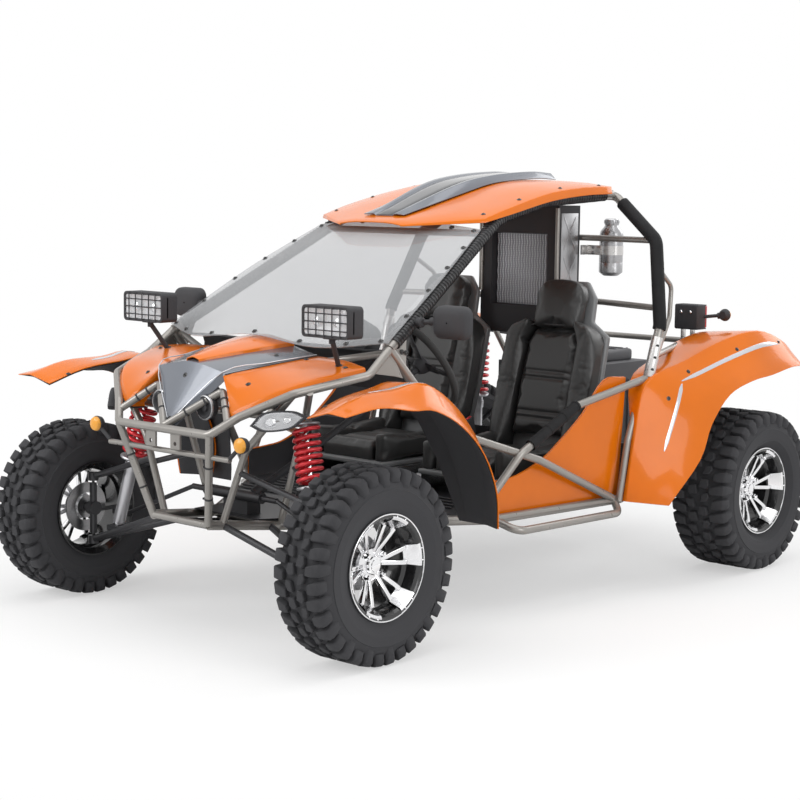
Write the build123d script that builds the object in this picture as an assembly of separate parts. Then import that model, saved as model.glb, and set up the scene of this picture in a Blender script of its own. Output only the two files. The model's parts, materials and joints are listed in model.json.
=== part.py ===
from build123d import *
import os
from collections import namedtuple
from math import cos, pi, radians, sin

# A two-seat dune buggy: welded tube frame and roll cage, plastic body panels, four knobby
# tyres, rack steering. Millimetres, +Z up, nose towards -Y, +X is the driver's left.
# The origin lies on the ground, midway between the wheels.

# Driving sizes of the whole vehicle
wheelbase = 2106
half_width = 867
half_length = 1363
height = 1540

# Wheels and tyres
tyre_radius = 310
front_track_half = 714
rear_track_half = 742
front_tyre_width = 204
rear_tyre_width = 250
front_rim_width = 190
rear_rim_width = 200
rim_lip_radius = 170
rim_seat_radius = 152
rim_wall = 6
bead_width = 14
bead_gap = 1.5
lug_height = 20
lug_count = 18
lug_depth_share = 1.9
hub_depth = 76
hub_radius = 42
hub_thickness = 22
web_thickness = 13
brake_disc_radius = 88
brake_disc_thickness = 5
brake_disc_depth = 128

# Tubes
frame_tube = 16
cage_tube = 17
bumper_tube = 14
brace_tube = 12
light_tube = 9
tube_bend = 60
nose_bend = 40
peak_bend = 14
pillar_bend_radius = 300
hoop_bend = 70
door_bar_bend = 90
step_bend = 45
stay_bend = 35
pad_radius = 25
wrap_radius = 24
fit_gap = 0.3

# Sheets and panels
panel_thickness = 5
sheet_thickness = 3
screen_thickness = 5

# Steering and front suspension
kingpin_inset = 74
kingpin_radius = 13
stud_radius = 5
knuckle_half_height = 92
joint_gap = 1.0
steer_arm_length = 100
spindle_radius = 14
arm_tube = 12
ball_radius = 19
shock_body_radius = 22
shock_rod_radius = 9
shock_pad_width = 50
shock_pad_length = 64
shock_pad_height = 18
spring_radius = 40
spring_wire = 8
spring_turns = 7
rack_radius = 10
rack_half = 140
pinion_depth = 28
pinion_back = 17
rack_bracket_half = 60
rack_housing_radius = 19
tie_rod_radius = 8
wheel_rim_radius = 165
wheel_rim_tube = 13
column_radius = 12

# Engine and seats
engine_width = 420
engine_length = 480
engine_height = 380
gearbox_width = 260
gearbox_length = 190
gearbox_drop = 70
boot_radius = 45
boot_neck = 24
boot_length = 100
outer_boot_radius = 40
outer_boot_length = 80
muffler_radius = 70
muffler_length = 420
muffler_gap = 20
exhaust_pipe_radius = 22
exhaust_bend = 30
seat_width = 430
seat_thickness = 90
seat_back_height = 640
seat_cushion_length = 430

# Lamps, mirrors and other fittings
pod_radius = 75
pod_depth = 60
pod_tilt = 65
lamp_width = 210
lamp_depth = 75
lamp_height = 104
mirror_width = 150
mirror_depth = 45
mirror_height = 110
headlamp_length = 172
headlamp_height = 56
headlamp_half_depth = 30
signal_radius = 27
signal_length = 40
rear_signal_radius = 25
rear_signal_length = 36
tail_lamp_width = 110
tail_lamp_depth = 80
tail_lamp_height = 100
tail_foot_width = 60
tail_foot_depth = 30
horn_radius = 42
horn_length = 44
bottle_radius = 47
bottle_height = 200
bottle_cap_height = 26
bottle_bracket_length = 80
bottle_bracket_depth = 72
bottle_bracket_height = 40

overrun = 5

axle_y = wheelbase / 2


def at(x_share, y_share, z_share):
    """A place on the vehicle, as shares of its half width, half length and height."""
    return Vector(x_share * half_width, y_share * half_length, z_share * height)


def mirrored(shape):
    """The same piece on the driver's right."""
    return shape.mirror(Plane.YZ)


def both_sides(shapes):
    """The given pieces and their mirror images."""
    return list(shapes) + [mirrored(shape) for shape in shapes]


def fused(shapes):
    """One solid from pieces that run into each other."""
    shapes = list(shapes)
    return shapes[0].fuse(*shapes[1:]) if len(shapes) > 1 else shapes[0]


def route(points, bend):
    """A path of straight runs joined by arcs."""
    if len(points) == 2:
        return Line(*points)
    return FilletPolyline(*points, radius=bend)


def tube(points, radius, bend=tube_bend):
    """A round bar bent along the points."""
    path = route(points, bend)
    section = Plane(origin=path @ 0, z_dir=path % 0) * Circle(radius)
    return sweep(section, path=path)


def sleeve(points, inner, outer, bend=tube_bend):
    """A round sleeve round a bar that is bent along the points."""
    path = route(points, bend)
    section = Plane(origin=path @ 0, z_dir=path % 0) * (Circle(outer) - Circle(inner))
    return sweep(section, path=path)


def bar_between(start, end, radius):
    """A straight round bar from one place to another."""
    return tube([start, end], radius)


def sheet_between(top, low):
    """A closed sheet of flat facets between two matching grids of places."""
    last_row, last_column = len(top) - 1, len(top[0]) - 1
    faces = []

    def facet(*corners):
        faces.append(Face(Wire.make_polygon(list(corners), close=True)))

    for i in range(last_row):
        for j in range(last_column):
            for grid in (top, low):
                facet(grid[i][j], grid[i + 1][j], grid[i][j + 1])
                facet(grid[i + 1][j], grid[i + 1][j + 1], grid[i][j + 1])
    rim = [(0, j) for j in range(last_column)]
    rim += [(i, last_column) for i in range(last_row)]
    rim += [(last_row, j) for j in range(last_column, 0, -1)]
    rim += [(i, 0) for i in range(last_row, 0, -1)]
    for (i, j), (k, m) in zip(rim, rim[1:] + rim[:1]):
        facet(top[i][j], top[k][m], low[i][j])
        facet(top[k][m], low[k][m], low[i][j])
    return Solid(Shell(faces))


def sheet_from_rows(rows, thickness, back=(0, 0, -1)):
    """A sheet over rows of places, as thick as given towards the back."""
    offset = Vector(*back).normalized() * thickness
    top = [[Vector(*p) for p in row] for row in rows]
    return sheet_between(top, [[p + offset for p in row] for row in top])


def box_at(low, high):
    """A box between two opposite corners."""
    size = high - low
    middle = (low + high) * 0.5
    return Pos(middle) * Box(abs(size.X), abs(size.Y), abs(size.Z))


# Tow eyes on the nose bar and the hitch plate at the tail
tow_place = at(0.07, -0.926, 0.413)
tow_thickness = 8
tow_width = 46
tow_drop = 18
tow_hole_radius = 7
hitch_width = 60
hitch_length = 62
hitch_thickness = 8
hitch_hole_radius = 9.5

radiator_back = at(0, 0.518, 0).Y
radiator_half_span = at(0.346, 0, 0).X

# Places of the frame, left side, named for what meets there

bumper_corner = at(0.261, -0.928, 0.442)
bumper_foot = at(0.159, -0.874, 0.24)
rail_rise = at(0.346, -0.884, 0.481)
rail_shoulder = at(0.507, -0.807, 0.531)
rail_rear = at(0.629, -0.638, 0.564)
pillar_foot = at(0.617, -0.561, 0.614)
pillar_bend = at(0.433, -0.022, 0.883)
roof_bend = at(0.418, 0.183, 0.925)
roof_rear = at(0.418, 0.49, 0.942)
hoop_foot = at(0.761, 0.274, 0.219)
hoop_shoulder = at(0.784, 0.408, 0.63)
hoop_kink = at(0.681, 0.474, 0.831)
hoop_top = at(0.422, 0.508, 0.938)
rail_front = at(0.196, -0.66, 0.218)
sill_front = at(0.692, -0.232, 0.219)
rear_low_bend = at(0.461, 0.47, 0.224)
rear_low_end = at(0.346, 0.866, 0.234)
rear_high_inset = 242
rear_high_bend = at(0, 0.741, 0.571) + Vector(rear_track_half - rear_high_inset, 0, 0)
rear_high_end = at(0.461, 0.873, 0.558)
tower_top = at(0.456, -0.734, 0.487)
tower_knee = at(0.346, -0.671, 0.455)
tower_front_foot = at(0.166, -0.833, 0.236)
tower_front_knee = at(0.288, -0.828, 0.403)
dash_foot = at(0.663, -0.367, 0.416)


def between(start, end, share):
    """A place on the straight line between two others."""
    return start + (end - start) * share


def opposite(place):
    """The matching place on the other side."""
    return Vector(-place.X, place.Y, place.Z)


def across(place):
    """The two matching places, left and right."""
    return [place, opposite(place)]


def hitch_hole_place():
    """The middle of the hole in the hitch plate."""
    return Vector(0, rear_low_end.Y + hitch_length * 0.7, rear_low_end.Z)


def main_frame():
    """Lower rails, sills, cross members, shock towers and the rear engine frame."""
    lower_rail = [bumper_foot, rail_front, sill_front, hoop_foot, rear_low_bend, rear_low_end]
    rail = tube(lower_rail, frame_tube)
    door_front = tube([pillar_foot, dash_foot, sill_front], frame_tube)
    tower = tube([rail_front, tower_knee, tower_top, at(0.542, -0.778, 0.534)], brace_tube)
    tower_front = tube([tower_front_foot, tower_front_knee, rail_shoulder], brace_tube)
    rear_upright = bar_between(rear_high_bend, rear_low_end, brace_tube)
    rear_upper = tube([at(0.777, 0.376, 0.552), rear_high_bend, rear_high_end], brace_tube)
    rear_brace = bar_between(rear_high_end, rear_low_end, brace_tube)
    sides = both_sides(
        [rail, door_front, tower, tower_front, rear_upright, rear_upper, rear_brace]
    )
    cross_places = (
        bumper_foot,
        rail_front,
        sill_front,
        hoop_foot,
        rear_low_end,
        rear_high_end,
        tower_knee,
        between(rail_front, sill_front, 0.6),
    )
    crosses = [bar_between(*across(place), brace_tube) for place in cross_places]
    hitch_place = Vector(0, rear_low_end.Y + hitch_length / 2, rear_low_end.Z)
    hitch = Pos(hitch_place) * Box(hitch_width, hitch_length, hitch_thickness)
    hitch -= Pos(hitch_hole_place()) * Cylinder(hitch_hole_radius, 2 * hitch_thickness)
    return fused(sides + crosses + [hitch])


def front_bumper(frame):
    """The nose bar with its side rails, uprights, peaked tube and lamp bar."""
    side = [pillar_foot, rail_rear, rail_shoulder, rail_rise, bumper_corner]
    whole = side + [opposite(place) for place in reversed(side)]
    nose_bar = tube(whole, bumper_tube, nose_bend)
    upright = bar_between(bumper_corner, bumper_foot, bumper_tube - joint_gap)
    peak = [at(0.309, -0.899, 0.465), at(0.182, -0.84, 0.525), at(0, -0.926, 0.448)]
    peaks = tube(peak[:2] + [peak[2], opposite(peak[1]), opposite(peak[0])], brace_tube, peak_bend)
    lamp_bar = bar_between(*across(at(0.346, -0.912, 0.393)), light_tube)
    tab_hole = Pos(tow_place) * Rot(90, 0, 0) * Cylinder(tow_hole_radius, 2 * tow_thickness)
    tab_middle = tow_place + Vector(0, 0, tow_drop)
    tab = Pos(tab_middle) * Box(tow_width, tow_thickness, tow_drop * 4)
    tab -= tab_hole
    solids = [nose_bar, peaks, lamp_bar] + both_sides([upright, tab])
    return fused(solids) - frame


def roll_cage(frame, bumper):
    """Roof rails, main hoop, screen header, cowl tube and the hoop's cross tubes."""
    pillar = tube([pillar_foot, pillar_bend, roof_bend, roof_rear], cage_tube, pillar_bend_radius)
    hoop_side = [hoop_foot, hoop_shoulder, hoop_kink, hoop_top]
    hoop = tube(hoop_side + [opposite(p) for p in reversed(hoop_side)], cage_tube, hoop_bend)
    header = bar_between(*across(at(0.454, -0.088, 0.85)), brace_tube)
    cowl = tube(
        [at(0.609, -0.543, 0.607), at(0.346, -0.609, 0.579), at(-0.346, -0.609, 0.579), at(-0.609, -0.543, 0.607)],
        brace_tube,
    )
    stay = tube(
        [at(0.712, 0.453, 0.769), at(0.692, 0.544, 0.718), at(0.699, 0.532, 0.64), at(0.761, 0.345, 0.442)],
        light_tube,
        stay_bend,
    )
    crosses = []
    for level in (hoop_kink, between(hoop_shoulder, hoop_kink, 0.2)):
        back = Vector(radiator_half_span, radiator_back, level.Z)
        crosses.append(tube([level, back, opposite(back), opposite(level)], brace_tube))
    solids = [hoop, header, cowl] + both_sides([pillar, stay]) + crosses
    return fused(solids) - frame - bumper


def side_guards(fixed):
    """The two crossing door bars and the step bar on each side."""
    lower_bar = tube([at(0.663, -0.323, 0.416), at(0.752, -0.084, 0.344), at(0.766, 0.22, 0.227)], bumper_tube)
    upper_bar = tube(
        [at(0.69, -0.242, 0.26), at(0.744, -0.154, 0.364), at(0.77, 0.051, 0.459), at(0.774, 0.354, 0.503)],
        bumper_tube,
        door_bar_bend,
    )
    step = tube(
        [at(0.699, -0.22, 0.218), at(0.807, -0.209, 0.199), at(0.814, 0.213, 0.195), at(0.755, 0.242, 0.218)],
        bumper_tube,
        step_bend,
    )
    one_side = fused([lower_bar, upper_bar, step]) - fixed
    return both_sides([one_side])


def bar_pads(fixed):
    """Foam sleeves on the hoop and the upper door bars, and the ribbed wrap on the pillars."""
    hoop_pad = sleeve(
        [at(0.784, 0.404, 0.62), hoop_shoulder, hoop_kink, at(0.466, 0.502, 0.92)],
        cage_tube + fit_gap,
        pad_radius,
        hoop_bend,
    )
    return both_sides([hoop_pad - fixed])


def pillar_wraps(fixed):
    """The ribbed wrap on the pillars and roof rails."""
    low = pillar_foot + (pillar_bend - pillar_foot) * 0.04
    high = roof_rear + (roof_bend - roof_rear) * 0.12
    line = [low, pillar_bend, roof_bend, high]
    wrap = sleeve(line, cage_tube + fit_gap, wrap_radius, pillar_bend_radius)
    return both_sides([wrap - fixed])


def floor_pan():
    """The flat floor between the lower rails, with a kicked-up front and a rear wall."""
    rows = [
        [at(-0.173, -0.734, 0.238), at(0, -0.734, 0.238), at(0.173, -0.734, 0.238)],
        [at(-0.231, -0.587, 0.232), at(0, -0.587, 0.232), at(0.231, -0.587, 0.232)],
        [at(-0.646, -0.264, 0.232), at(0, -0.264, 0.232), at(0.646, -0.264, 0.232)],
        [at(-0.704, 0.293, 0.232), at(0, 0.293, 0.232), at(0.704, 0.293, 0.232)],
        [at(-0.692, 0.367, 0.338), at(0, 0.367, 0.338), at(0.692, 0.367, 0.338)],
    ]
    return sheet_from_rows(rows, sheet_thickness)


def skid_plate():
    """The plate below the nose, from the bumper foot to the floor."""
    rows = [
        [at(-0.148, -0.866, 0.231), at(0.148, -0.866, 0.231)],
        [at(-0.173, -0.66, 0.208), at(0.173, -0.66, 0.208)],
        [at(-0.346, -0.47, 0.209), at(0.346, -0.47, 0.209)],
    ]
    return sheet_from_rows(rows, sheet_thickness)


# Radiator behind the seats
radiator_low = at(-0.225, 0.411, 0.584)
radiator_high = Vector(-radiator_low.X, radiator_back - brace_tube - fit_gap, at(0, 0, 0.912).Z)
radiator_frame = 55


def radiator_shroud():
    """The black housing behind the seats, open at the front round the radiator core."""
    body = box_at(radiator_low, radiator_high)
    window_low = radiator_low + Vector(radiator_frame, -overrun, radiator_frame * 2)
    window_high = Vector(
        radiator_high.X - radiator_frame,
        radiator_low.Y + radiator_frame,
        radiator_high.Z - radiator_frame * 2,
    )
    return body - box_at(window_low, window_high)


def radiator_core():
    """The finned core seated in the housing's window."""
    low = radiator_low + Vector(radiator_frame, radiator_frame / 2, radiator_frame * 2)
    high = Vector(
        radiator_high.X - radiator_frame,
        radiator_low.Y + radiator_frame,
        radiator_high.Z - radiator_frame * 2,
    )
    return box_at(low, high)


HoodRow = namedtuple("HoodRow", "y half_width edge_z crown_z")
hood_rows = (
    HoodRow(-0.906, 0.016, 0.462, 0.466),
    HoodRow(-0.842, 0.182, 0.564, 0.58),
    HoodRow(-0.726, 0.235, 0.579, 0.601),
    HoodRow(-0.596, 0.288, 0.592, 0.621),
)


def hood_nose():
    """The grey prow: a keel from the bar up to the hood, then two strips back to the cowl."""
    rows = [
        [at(-r.half_width, r.y, r.edge_z), at(0, r.y, r.crown_z), at(r.half_width, r.y, r.edge_z)]
        for r in hood_rows
    ]
    return sheet_from_rows(rows, panel_thickness, (0, 0.5, -1))


def hood_center():
    """The orange tongue that lies on the grey panel."""
    rows = [
        [at(-0.018, -0.836, 0.582), at(0, -0.836, 0.584), at(0.018, -0.836, 0.582)],
        [at(-0.092, -0.726, 0.596), at(0, -0.726, 0.605), at(0.092, -0.726, 0.596)],
        [at(-0.161, -0.596, 0.61), at(0, -0.596, 0.627), at(0.161, -0.596, 0.61)],
    ]
    return sheet_from_rows(rows, panel_thickness)


def hood_side():
    """One orange panel between the grey strip and the side rail."""
    rows = [
        [at(0.189, -0.836, 0.558), at(0.26, -0.86, 0.519), at(0.302, -0.877, 0.488)],
        [at(0.242, -0.726, 0.574), at(0.381, -0.763, 0.56), at(0.484, -0.796, 0.547)],
        [at(0.295, -0.596, 0.59), at(0.461, -0.609, 0.588), at(0.6, -0.631, 0.579)],
    ]
    return sheet_from_rows(rows, panel_thickness)


RoofRow = namedtuple("RoofRow", "y half_width edge_z shoulder_z crown_z")
roof_rows = (
    RoofRow(-0.22, 0.173, 0.864, 0.868, 0.873),
    RoofRow(-0.098, 0.467, 0.875, 0.884, 0.899),
    RoofRow(0.01, 0.473, 0.895, 0.91, 0.925),
    RoofRow(0.183, 0.464, 0.925, 0.944, 0.962),
    RoofRow(0.34, 0.459, 0.939, 0.958, 0.974),
    RoofRow(0.462, 0.454, 0.943, 0.961, 0.973),
)


roof_pad_radius = 9
roof_pad_rise = 34


def roof_panel(fixed):
    """The orange roof skin with turned-down edges, on four pads over the side tubes."""
    rows = []
    for r in roof_rows:
        half = [
            at(r.half_width, r.y, r.edge_z),
            at(r.half_width * 0.985, r.y, r.shoulder_z),
            at(r.half_width * 0.5, r.y, r.crown_z),
        ]
        rows.append([opposite(p) for p in half] + list(reversed(half)))
    skin = sheet_from_rows(rows, panel_thickness)
    pads = []
    for foot in (roof_bend, between(roof_bend, roof_rear, 0.8)):
        head = foot + Vector(0, 0, roof_pad_rise)
        seat_place = foot + Vector(0, 0, wrap_radius * 0.85)
        pads.append(bar_between(seat_place, head, roof_pad_radius))
        pads.append(bar_between(opposite(seat_place), opposite(head), roof_pad_radius))
    return clear_of(fused([skin] + pads), fixed)


def roof_scoop():
    """The raised grey spine along the roof."""
    rows = [
        [at(-0.115, -0.165, 0.89), at(-0.069, -0.165, 0.892), at(0.069, -0.165, 0.892), at(0.115, -0.165, 0.89)],
        [at(-0.136, 0.051, 0.94), at(-0.104, 0.051, 0.96), at(0.104, 0.051, 0.96), at(0.136, 0.051, 0.94)],
        [at(-0.143, 0.191, 0.968), at(-0.111, 0.191, 0.984), at(0.111, 0.191, 0.984), at(0.143, 0.191, 0.968)],
        [at(-0.145, 0.362, 0.979), at(-0.113, 0.362, 0.996), at(0.113, 0.362, 0.996), at(0.145, 0.362, 0.979)],
        [at(-0.145, 0.459, 0.978), at(-0.113, 0.459, 0.994), at(0.113, 0.459, 0.994), at(0.145, 0.459, 0.978)],
    ]
    return sheet_from_rows(rows, panel_thickness)


def windscreen():
    """The clear screen from the hood up to the roof, wrapped a little at its sides."""
    half_rows = (
        (at(0, -0.624, 0.639), at(0.346, -0.616, 0.623), at(0.621, -0.552, 0.64)),
        (at(0, -0.348, 0.778), at(0.277, -0.345, 0.775), at(0.554, -0.33, 0.755)),
        (at(0, -0.125, 0.877), at(0.231, -0.121, 0.873), at(0.459, -0.11, 0.86)),
    )
    rows = [[opposite(p) for p in reversed(row[1:])] + list(row) for row in half_rows]
    return sheet_from_rows(rows, screen_thickness)


Station = namedtuple("Station", "angle x_in r_in x_crest r_crest x_out r_out")
front_fender_stations = (
    Station(112, 0.738, 1.613, 0.854, 1.69, 0.937, 1.581),
    Station(95, 0.727, 1.645, 0.854, 1.71, 0.94, 1.561),
    Station(78, 0.704, 1.742, 0.854, 1.768, 0.94, 1.568),
    Station(66, 0.692, 1.903, 0.854, 1.929, 0.94, 1.652),
    Station(50, 0.692, 1.923, 0.854, 1.948, 0.94, 1.703),
    Station(34, 0.692, 1.923, 0.854, 1.948, 0.94, 1.748),
    Station(18, 0.704, 1.903, 0.854, 1.929, 0.934, 1.768),
    Station(5, 0.738, 1.845, 0.854, 1.871, 0.923, 1.758),
)
rear_fender_stations = (
    Station(178, 0.789, 2.297, 0.807, 2.303, 0.978, 2.103),
    Station(160, 0.789, 2.297, 0.807, 2.31, 0.983, 1.587),
    Station(143, 0.715, 2.413, 0.807, 2.426, 0.985, 1.587),
    Station(125, 0.646, 2.052, 0.825, 2.071, 0.987, 1.568),
    Station(106, 0.629, 1.942, 0.859, 1.981, 0.99, 1.477),
    Station(88, 0.629, 1.948, 0.9, 2.006, 0.992, 1.468),
    Station(72, 0.646, 1.916, 0.911, 1.955, 0.992, 1.613),
    Station(62, 0.692, 1.845, 0.917, 1.884, 0.983, 1.742),
)


def around(axle, angle, x_share, r_share):
    """A place beside a wheel, by its angle from the rear about the axle and its reach."""
    reach = r_share * tyre_radius
    turn = radians(angle)
    return Vector(x_share * half_width, axle + reach * cos(turn), tyre_radius + reach * sin(turn))


def fender(axle, stations):
    """A fender as a sheet over its stations round the wheel."""
    outer = []
    inner = []
    thin = panel_thickness / tyre_radius
    for s in stations:
        shape = ((s.x_in, s.r_in), (s.x_crest, s.r_crest), (s.x_out, s.r_out))
        outer.append([around(axle, s.angle, x, r) for x, r in shape])
        inner.append([around(axle, s.angle, x, r - thin) for x, r in shape])
    return sheet_between(outer, inner)


def side_panel(fixed):
    """The orange door panel that stands on the sill, with its sweeping top edge."""
    along = (hoop_foot - sill_front).normalized()
    length = (hoop_foot - sill_front).length
    rise = hoop_shoulder.Z - sill_front.Z
    setback = frame_tube + fit_gap + panel_thickness
    face = Plane(origin=sill_front, x_dir=along, z_dir=along.cross(Vector(0, 0, 1)))
    length_shares = (-0.06, -0.06, 0.22, 0.40, 0.53, 0.70, 0.86, 1.04, 0.985)
    rise_shares = (0.01, 0.20, 0.22, 0.29, 0.38, 0.52, 0.70, 0.71, 0.01)
    corners = [(a * length, b * rise) for a, b in zip(length_shares, rise_shares)]
    outline = face.offset(-setback) * make_face(Polyline(*corners, close=True))
    return extrude(outline, panel_thickness) - fixed


# Seats
seat_x = at(0.337, 0, 0).X
hip_y = at(0, 0.22, 0).Y
floor_top = at(0, 0, 0.232).Z
hip_height = 150
seat_lean = 15
bolster_width = 58
bolster_depth = 55
headrest_width = 236
headrest_thickness = 60
seat_rail_width = 30


def seat():
    """A high-backed bucket seat: cushion, back with bolsters, headrest and floor rails."""
    lean = radians(seat_lean)
    hip = Vector(seat_x, hip_y, floor_top + hip_height)
    back_plane = Plane(origin=hip, x_dir=(1, 0, 0), z_dir=(0, -cos(lean), sin(lean)))
    half = seat_width / 2
    shoulder = seat_back_height * 0.70
    head_half = headrest_width / 2
    right_side = [
        (half * 0.94, -seat_thickness * 0.6),
        (half, shoulder * 0.5),
        (half * 0.97, shoulder),
        (head_half, shoulder * 1.1),
        (head_half * 1.02, seat_back_height * 0.92),
        (head_half * 0.6, seat_back_height * 1.02),
    ]
    left_side = [(-x, u) for x, u in reversed(right_side)]
    outline = make_face(Polyline(*right_side, *left_side, close=True))
    back = extrude(back_plane.offset(-seat_thickness) * outline, seat_thickness)
    bolster_middle = half - bolster_width / 2
    for side in (-1, 1):
        bolster = Pos(side * bolster_middle, shoulder * 0.45, bolster_depth / 2)
        back += back_plane * bolster * Box(bolster_width, shoulder * 0.9, bolster_depth)
    head_pad = Pos(0, seat_back_height * 0.84, headrest_thickness / 4)
    back += back_plane * head_pad * Box(
        headrest_width * 0.9, seat_back_height * 0.26, headrest_thickness / 2
    )
    cushion_middle = Pos(
        seat_x, hip_y - seat_cushion_length / 2, floor_top + hip_height - seat_thickness / 2
    )
    cushion = cushion_middle * Box(seat_width * 0.94, seat_cushion_length, seat_thickness)
    for side in (-1, 1):
        cushion += (
            cushion_middle
            * Pos(side * bolster_middle, 0, bolster_depth / 2)
            * Box(bolster_width, seat_cushion_length, seat_thickness + bolster_depth)
        )
    rail_height = hip_height - seat_thickness
    for side in (-1, 1):
        cushion += Pos(
            seat_x + side * half / 2, hip_y - seat_cushion_length / 2, floor_top + rail_height / 2
        ) * Box(seat_rail_width, seat_cushion_length * 0.9, rail_height)
    return cushion + back


def tyre(width, rim_width, middle_x, axle):
    """A knobby tyre: a many-sided carcass with rows of lugs out to the full radius."""
    sides = lug_count
    carcass_radius = tyre_radius - lug_height
    half = width / 2
    bead = rim_width / 2 - rim_wall - bead_gap
    # Columns: place across the width, reach from the axle
    one_side = (
        (bead - bead_width / 2, rim_seat_radius * 1.02),
        (bead, rim_lip_radius + bead_gap),
        (half, carcass_radius * 0.78),
        (half * 0.88, carcass_radius * 0.96),
    )
    profile = [(-place, reach) for place, reach in one_side] + list(reversed(one_side))
    rings = []
    for place, reach in profile:
        ring_plane = Plane(
            origin=(middle_x + place, axle, tyre_radius),
            x_dir=(0, 1, 0),
            z_dir=(1, 0, 0),
        )
        rings.append(ring_plane * RegularPolygon(reach, sides, major_radius=False))
    body = loft(rings, ruled=True)
    bore_plane = Plane(
        origin=(middle_x - width / 2 - overrun, axle, tyre_radius), x_dir=(0, 1, 0), z_dir=(1, 0, 0)
    )
    bore = bore_plane * RegularPolygon(rim_seat_radius + fit_gap, sides * 2, major_radius=False)
    body -= extrude(bore, width + 2 * overrun)
    # Columns: middle and width of a lug as shares of the half width, its length as a share
    # of the pitch, and its step round the tyre in pitches
    lugs = ((-0.70, 0.52, 0.52, 0), (0.70, 0.52, 0.52, 0.5), (0, 0.46, 0.62, 0.25))
    pitch = 2 * pi * tyre_radius / lug_count
    blocks = []
    for middle_share, width_share, length_share, step in lugs:
        lug = Box(
            width_share * half,
            length_share * pitch,
            lug_height * lug_depth_share,
            align=(Align.CENTER, Align.CENTER, Align.MAX),
        )
        flat_drop = (tyre_radius**2 - (length_share * pitch / 2) ** 2) ** 0.5
        for number in range(lug_count):
            turn = (number + step) * 360 / lug_count
            blocks.append(
                Pos(middle_x + middle_share * half, axle, tyre_radius)
                * Rot(turn, 0, 0)
                * Pos(0, 0, flat_drop)
                * lug
            )
    return body.fuse(*blocks)


# Wheel details
web_inset = 30
barrel_drop = 8
well_start = 50
well_slope = 12
spoke_count = 6
window_half = 27
slot_half = 9
cap_height = 18


def wheel(width, middle_x, axle):
    """An alloy wheel: barrel with lips, a dished web of six forked spokes, hub and disc."""
    outer = middle_x + width / 2
    inner = middle_x - width / 2
    wall = rim_wall
    seat_r = rim_seat_radius
    low_r = seat_r - barrel_drop
    well_outer = outer - well_start - well_slope
    well_inner = inner + well_start - well_slope
    section = Polyline(
        (outer, rim_lip_radius),
        (outer - wall, rim_lip_radius),
        (outer - bead_width, seat_r),
        (outer - well_start, seat_r),
        (well_outer, low_r),
        (well_inner, low_r),
        (well_inner - well_slope, seat_r),
        (inner + bead_width, seat_r),
        (inner + wall, rim_lip_radius),
        (inner, rim_lip_radius),
        (inner, rim_lip_radius - wall),
        (inner + bead_width + wall, seat_r - wall),
        (well_inner - wall, seat_r - wall),
        (well_inner, low_r - wall),
        (well_outer, low_r - wall),
        (well_outer + wall, seat_r - wall),
        (outer - bead_width - wall, seat_r - wall),
        (outer, rim_lip_radius - wall),
        close=True,
    )
    barrel = revolve(make_face(section), axis=Axis.X)
    hub_face = outer - hub_depth
    bore = spindle_radius + joint_gap
    web = Polyline(
        (hub_face, bore),
        (hub_face, hub_radius),
        (outer - web_inset, seat_r - wall / 2),
        (outer - web_inset - web_thickness, seat_r - wall / 2),
        (hub_face - hub_thickness, hub_radius),
        (hub_face - hub_thickness, bore),
        close=True,
    )
    disc = revolve(make_face(web), axis=Axis.X)
    window_start = hub_radius + bead_width
    window_end = seat_r - bead_width
    window = make_face(
        Polyline(
            (window_start, -window_half / 5),
            (window_end, -window_half),
            (window_end, window_half),
            (window_start, window_half / 5),
            close=True,
        )
    )
    slot = make_face(
        Polyline(
            (window_start * 1.4, -slot_half / 3),
            (window_end, -slot_half),
            (window_end, slot_half),
            (window_start * 1.4, slot_half / 3),
            close=True,
        )
    )
    across_plane = Plane(origin=(inner, 0, 0), x_dir=(0, 0, 1), z_dir=(1, 0, 0))
    step = 360 / spoke_count
    cutters = []
    for number in range(spoke_count):
        cutters.append(extrude(across_plane * Rot(0, 0, number * step) * window, width))
        cutters.append(extrude(across_plane * Rot(0, 0, (number + 0.5) * step) * slot, width))
    disc = disc.cut(*cutters)
    drum_start = outer - brake_disc_depth
    drum_length = hub_face - drum_start
    sideways = Rot(0, 90, 0)
    drum = Cylinder(hub_radius, drum_length) - Cylinder(bore, drum_length)
    drum = Pos(drum_start + drum_length / 2, 0, 0) * sideways * drum
    rotor = Cylinder(brake_disc_radius, brake_disc_thickness)
    rotor -= Cylinder(bore, brake_disc_thickness)
    rotor = Pos(drum_start + brake_disc_thickness / 2, 0, 0) * sideways * rotor
    cap = Pos(hub_face + cap_height / 2, 0, 0) * sideways * Cylinder(hub_radius * 0.62, cap_height)
    return Pos(0, axle, tyre_radius) * fused([barrel, disc, drum, rotor, cap])


def front_knuckle():
    """The front upright with its stub axle and rearward steering arm."""
    foot = Vector(kingpin_x, -axle_y, tyre_radius)
    post = Pos(foot) * Cylinder(kingpin_radius, 2 * (knuckle_half_height - joint_gap))
    stud_height = 2 * (ball_drop - ball_height / 2 - fit_gap)
    post += Pos(foot) * Cylinder(stud_radius, stud_height)
    stub_end = front_track_half + front_rim_width / 2 - hub_depth - joint_gap
    stub = bar_between(foot, Vector(stub_end, -axle_y, tyre_radius), spindle_radius)
    boss = Pos(foot) * Rot(0, 90, 0) * Cylinder(spindle_radius * 1.8, kingpin_radius * 2.4)
    arm = Pos(kingpin_x, -axle_y + steer_arm_length / 2 + arm_eye / 2, tyre_radius - arm_drop) * Box(
        arm_width, steer_arm_length + arm_eye, arm_thickness
    )
    return fused([post, stub, boss, arm])


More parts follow.
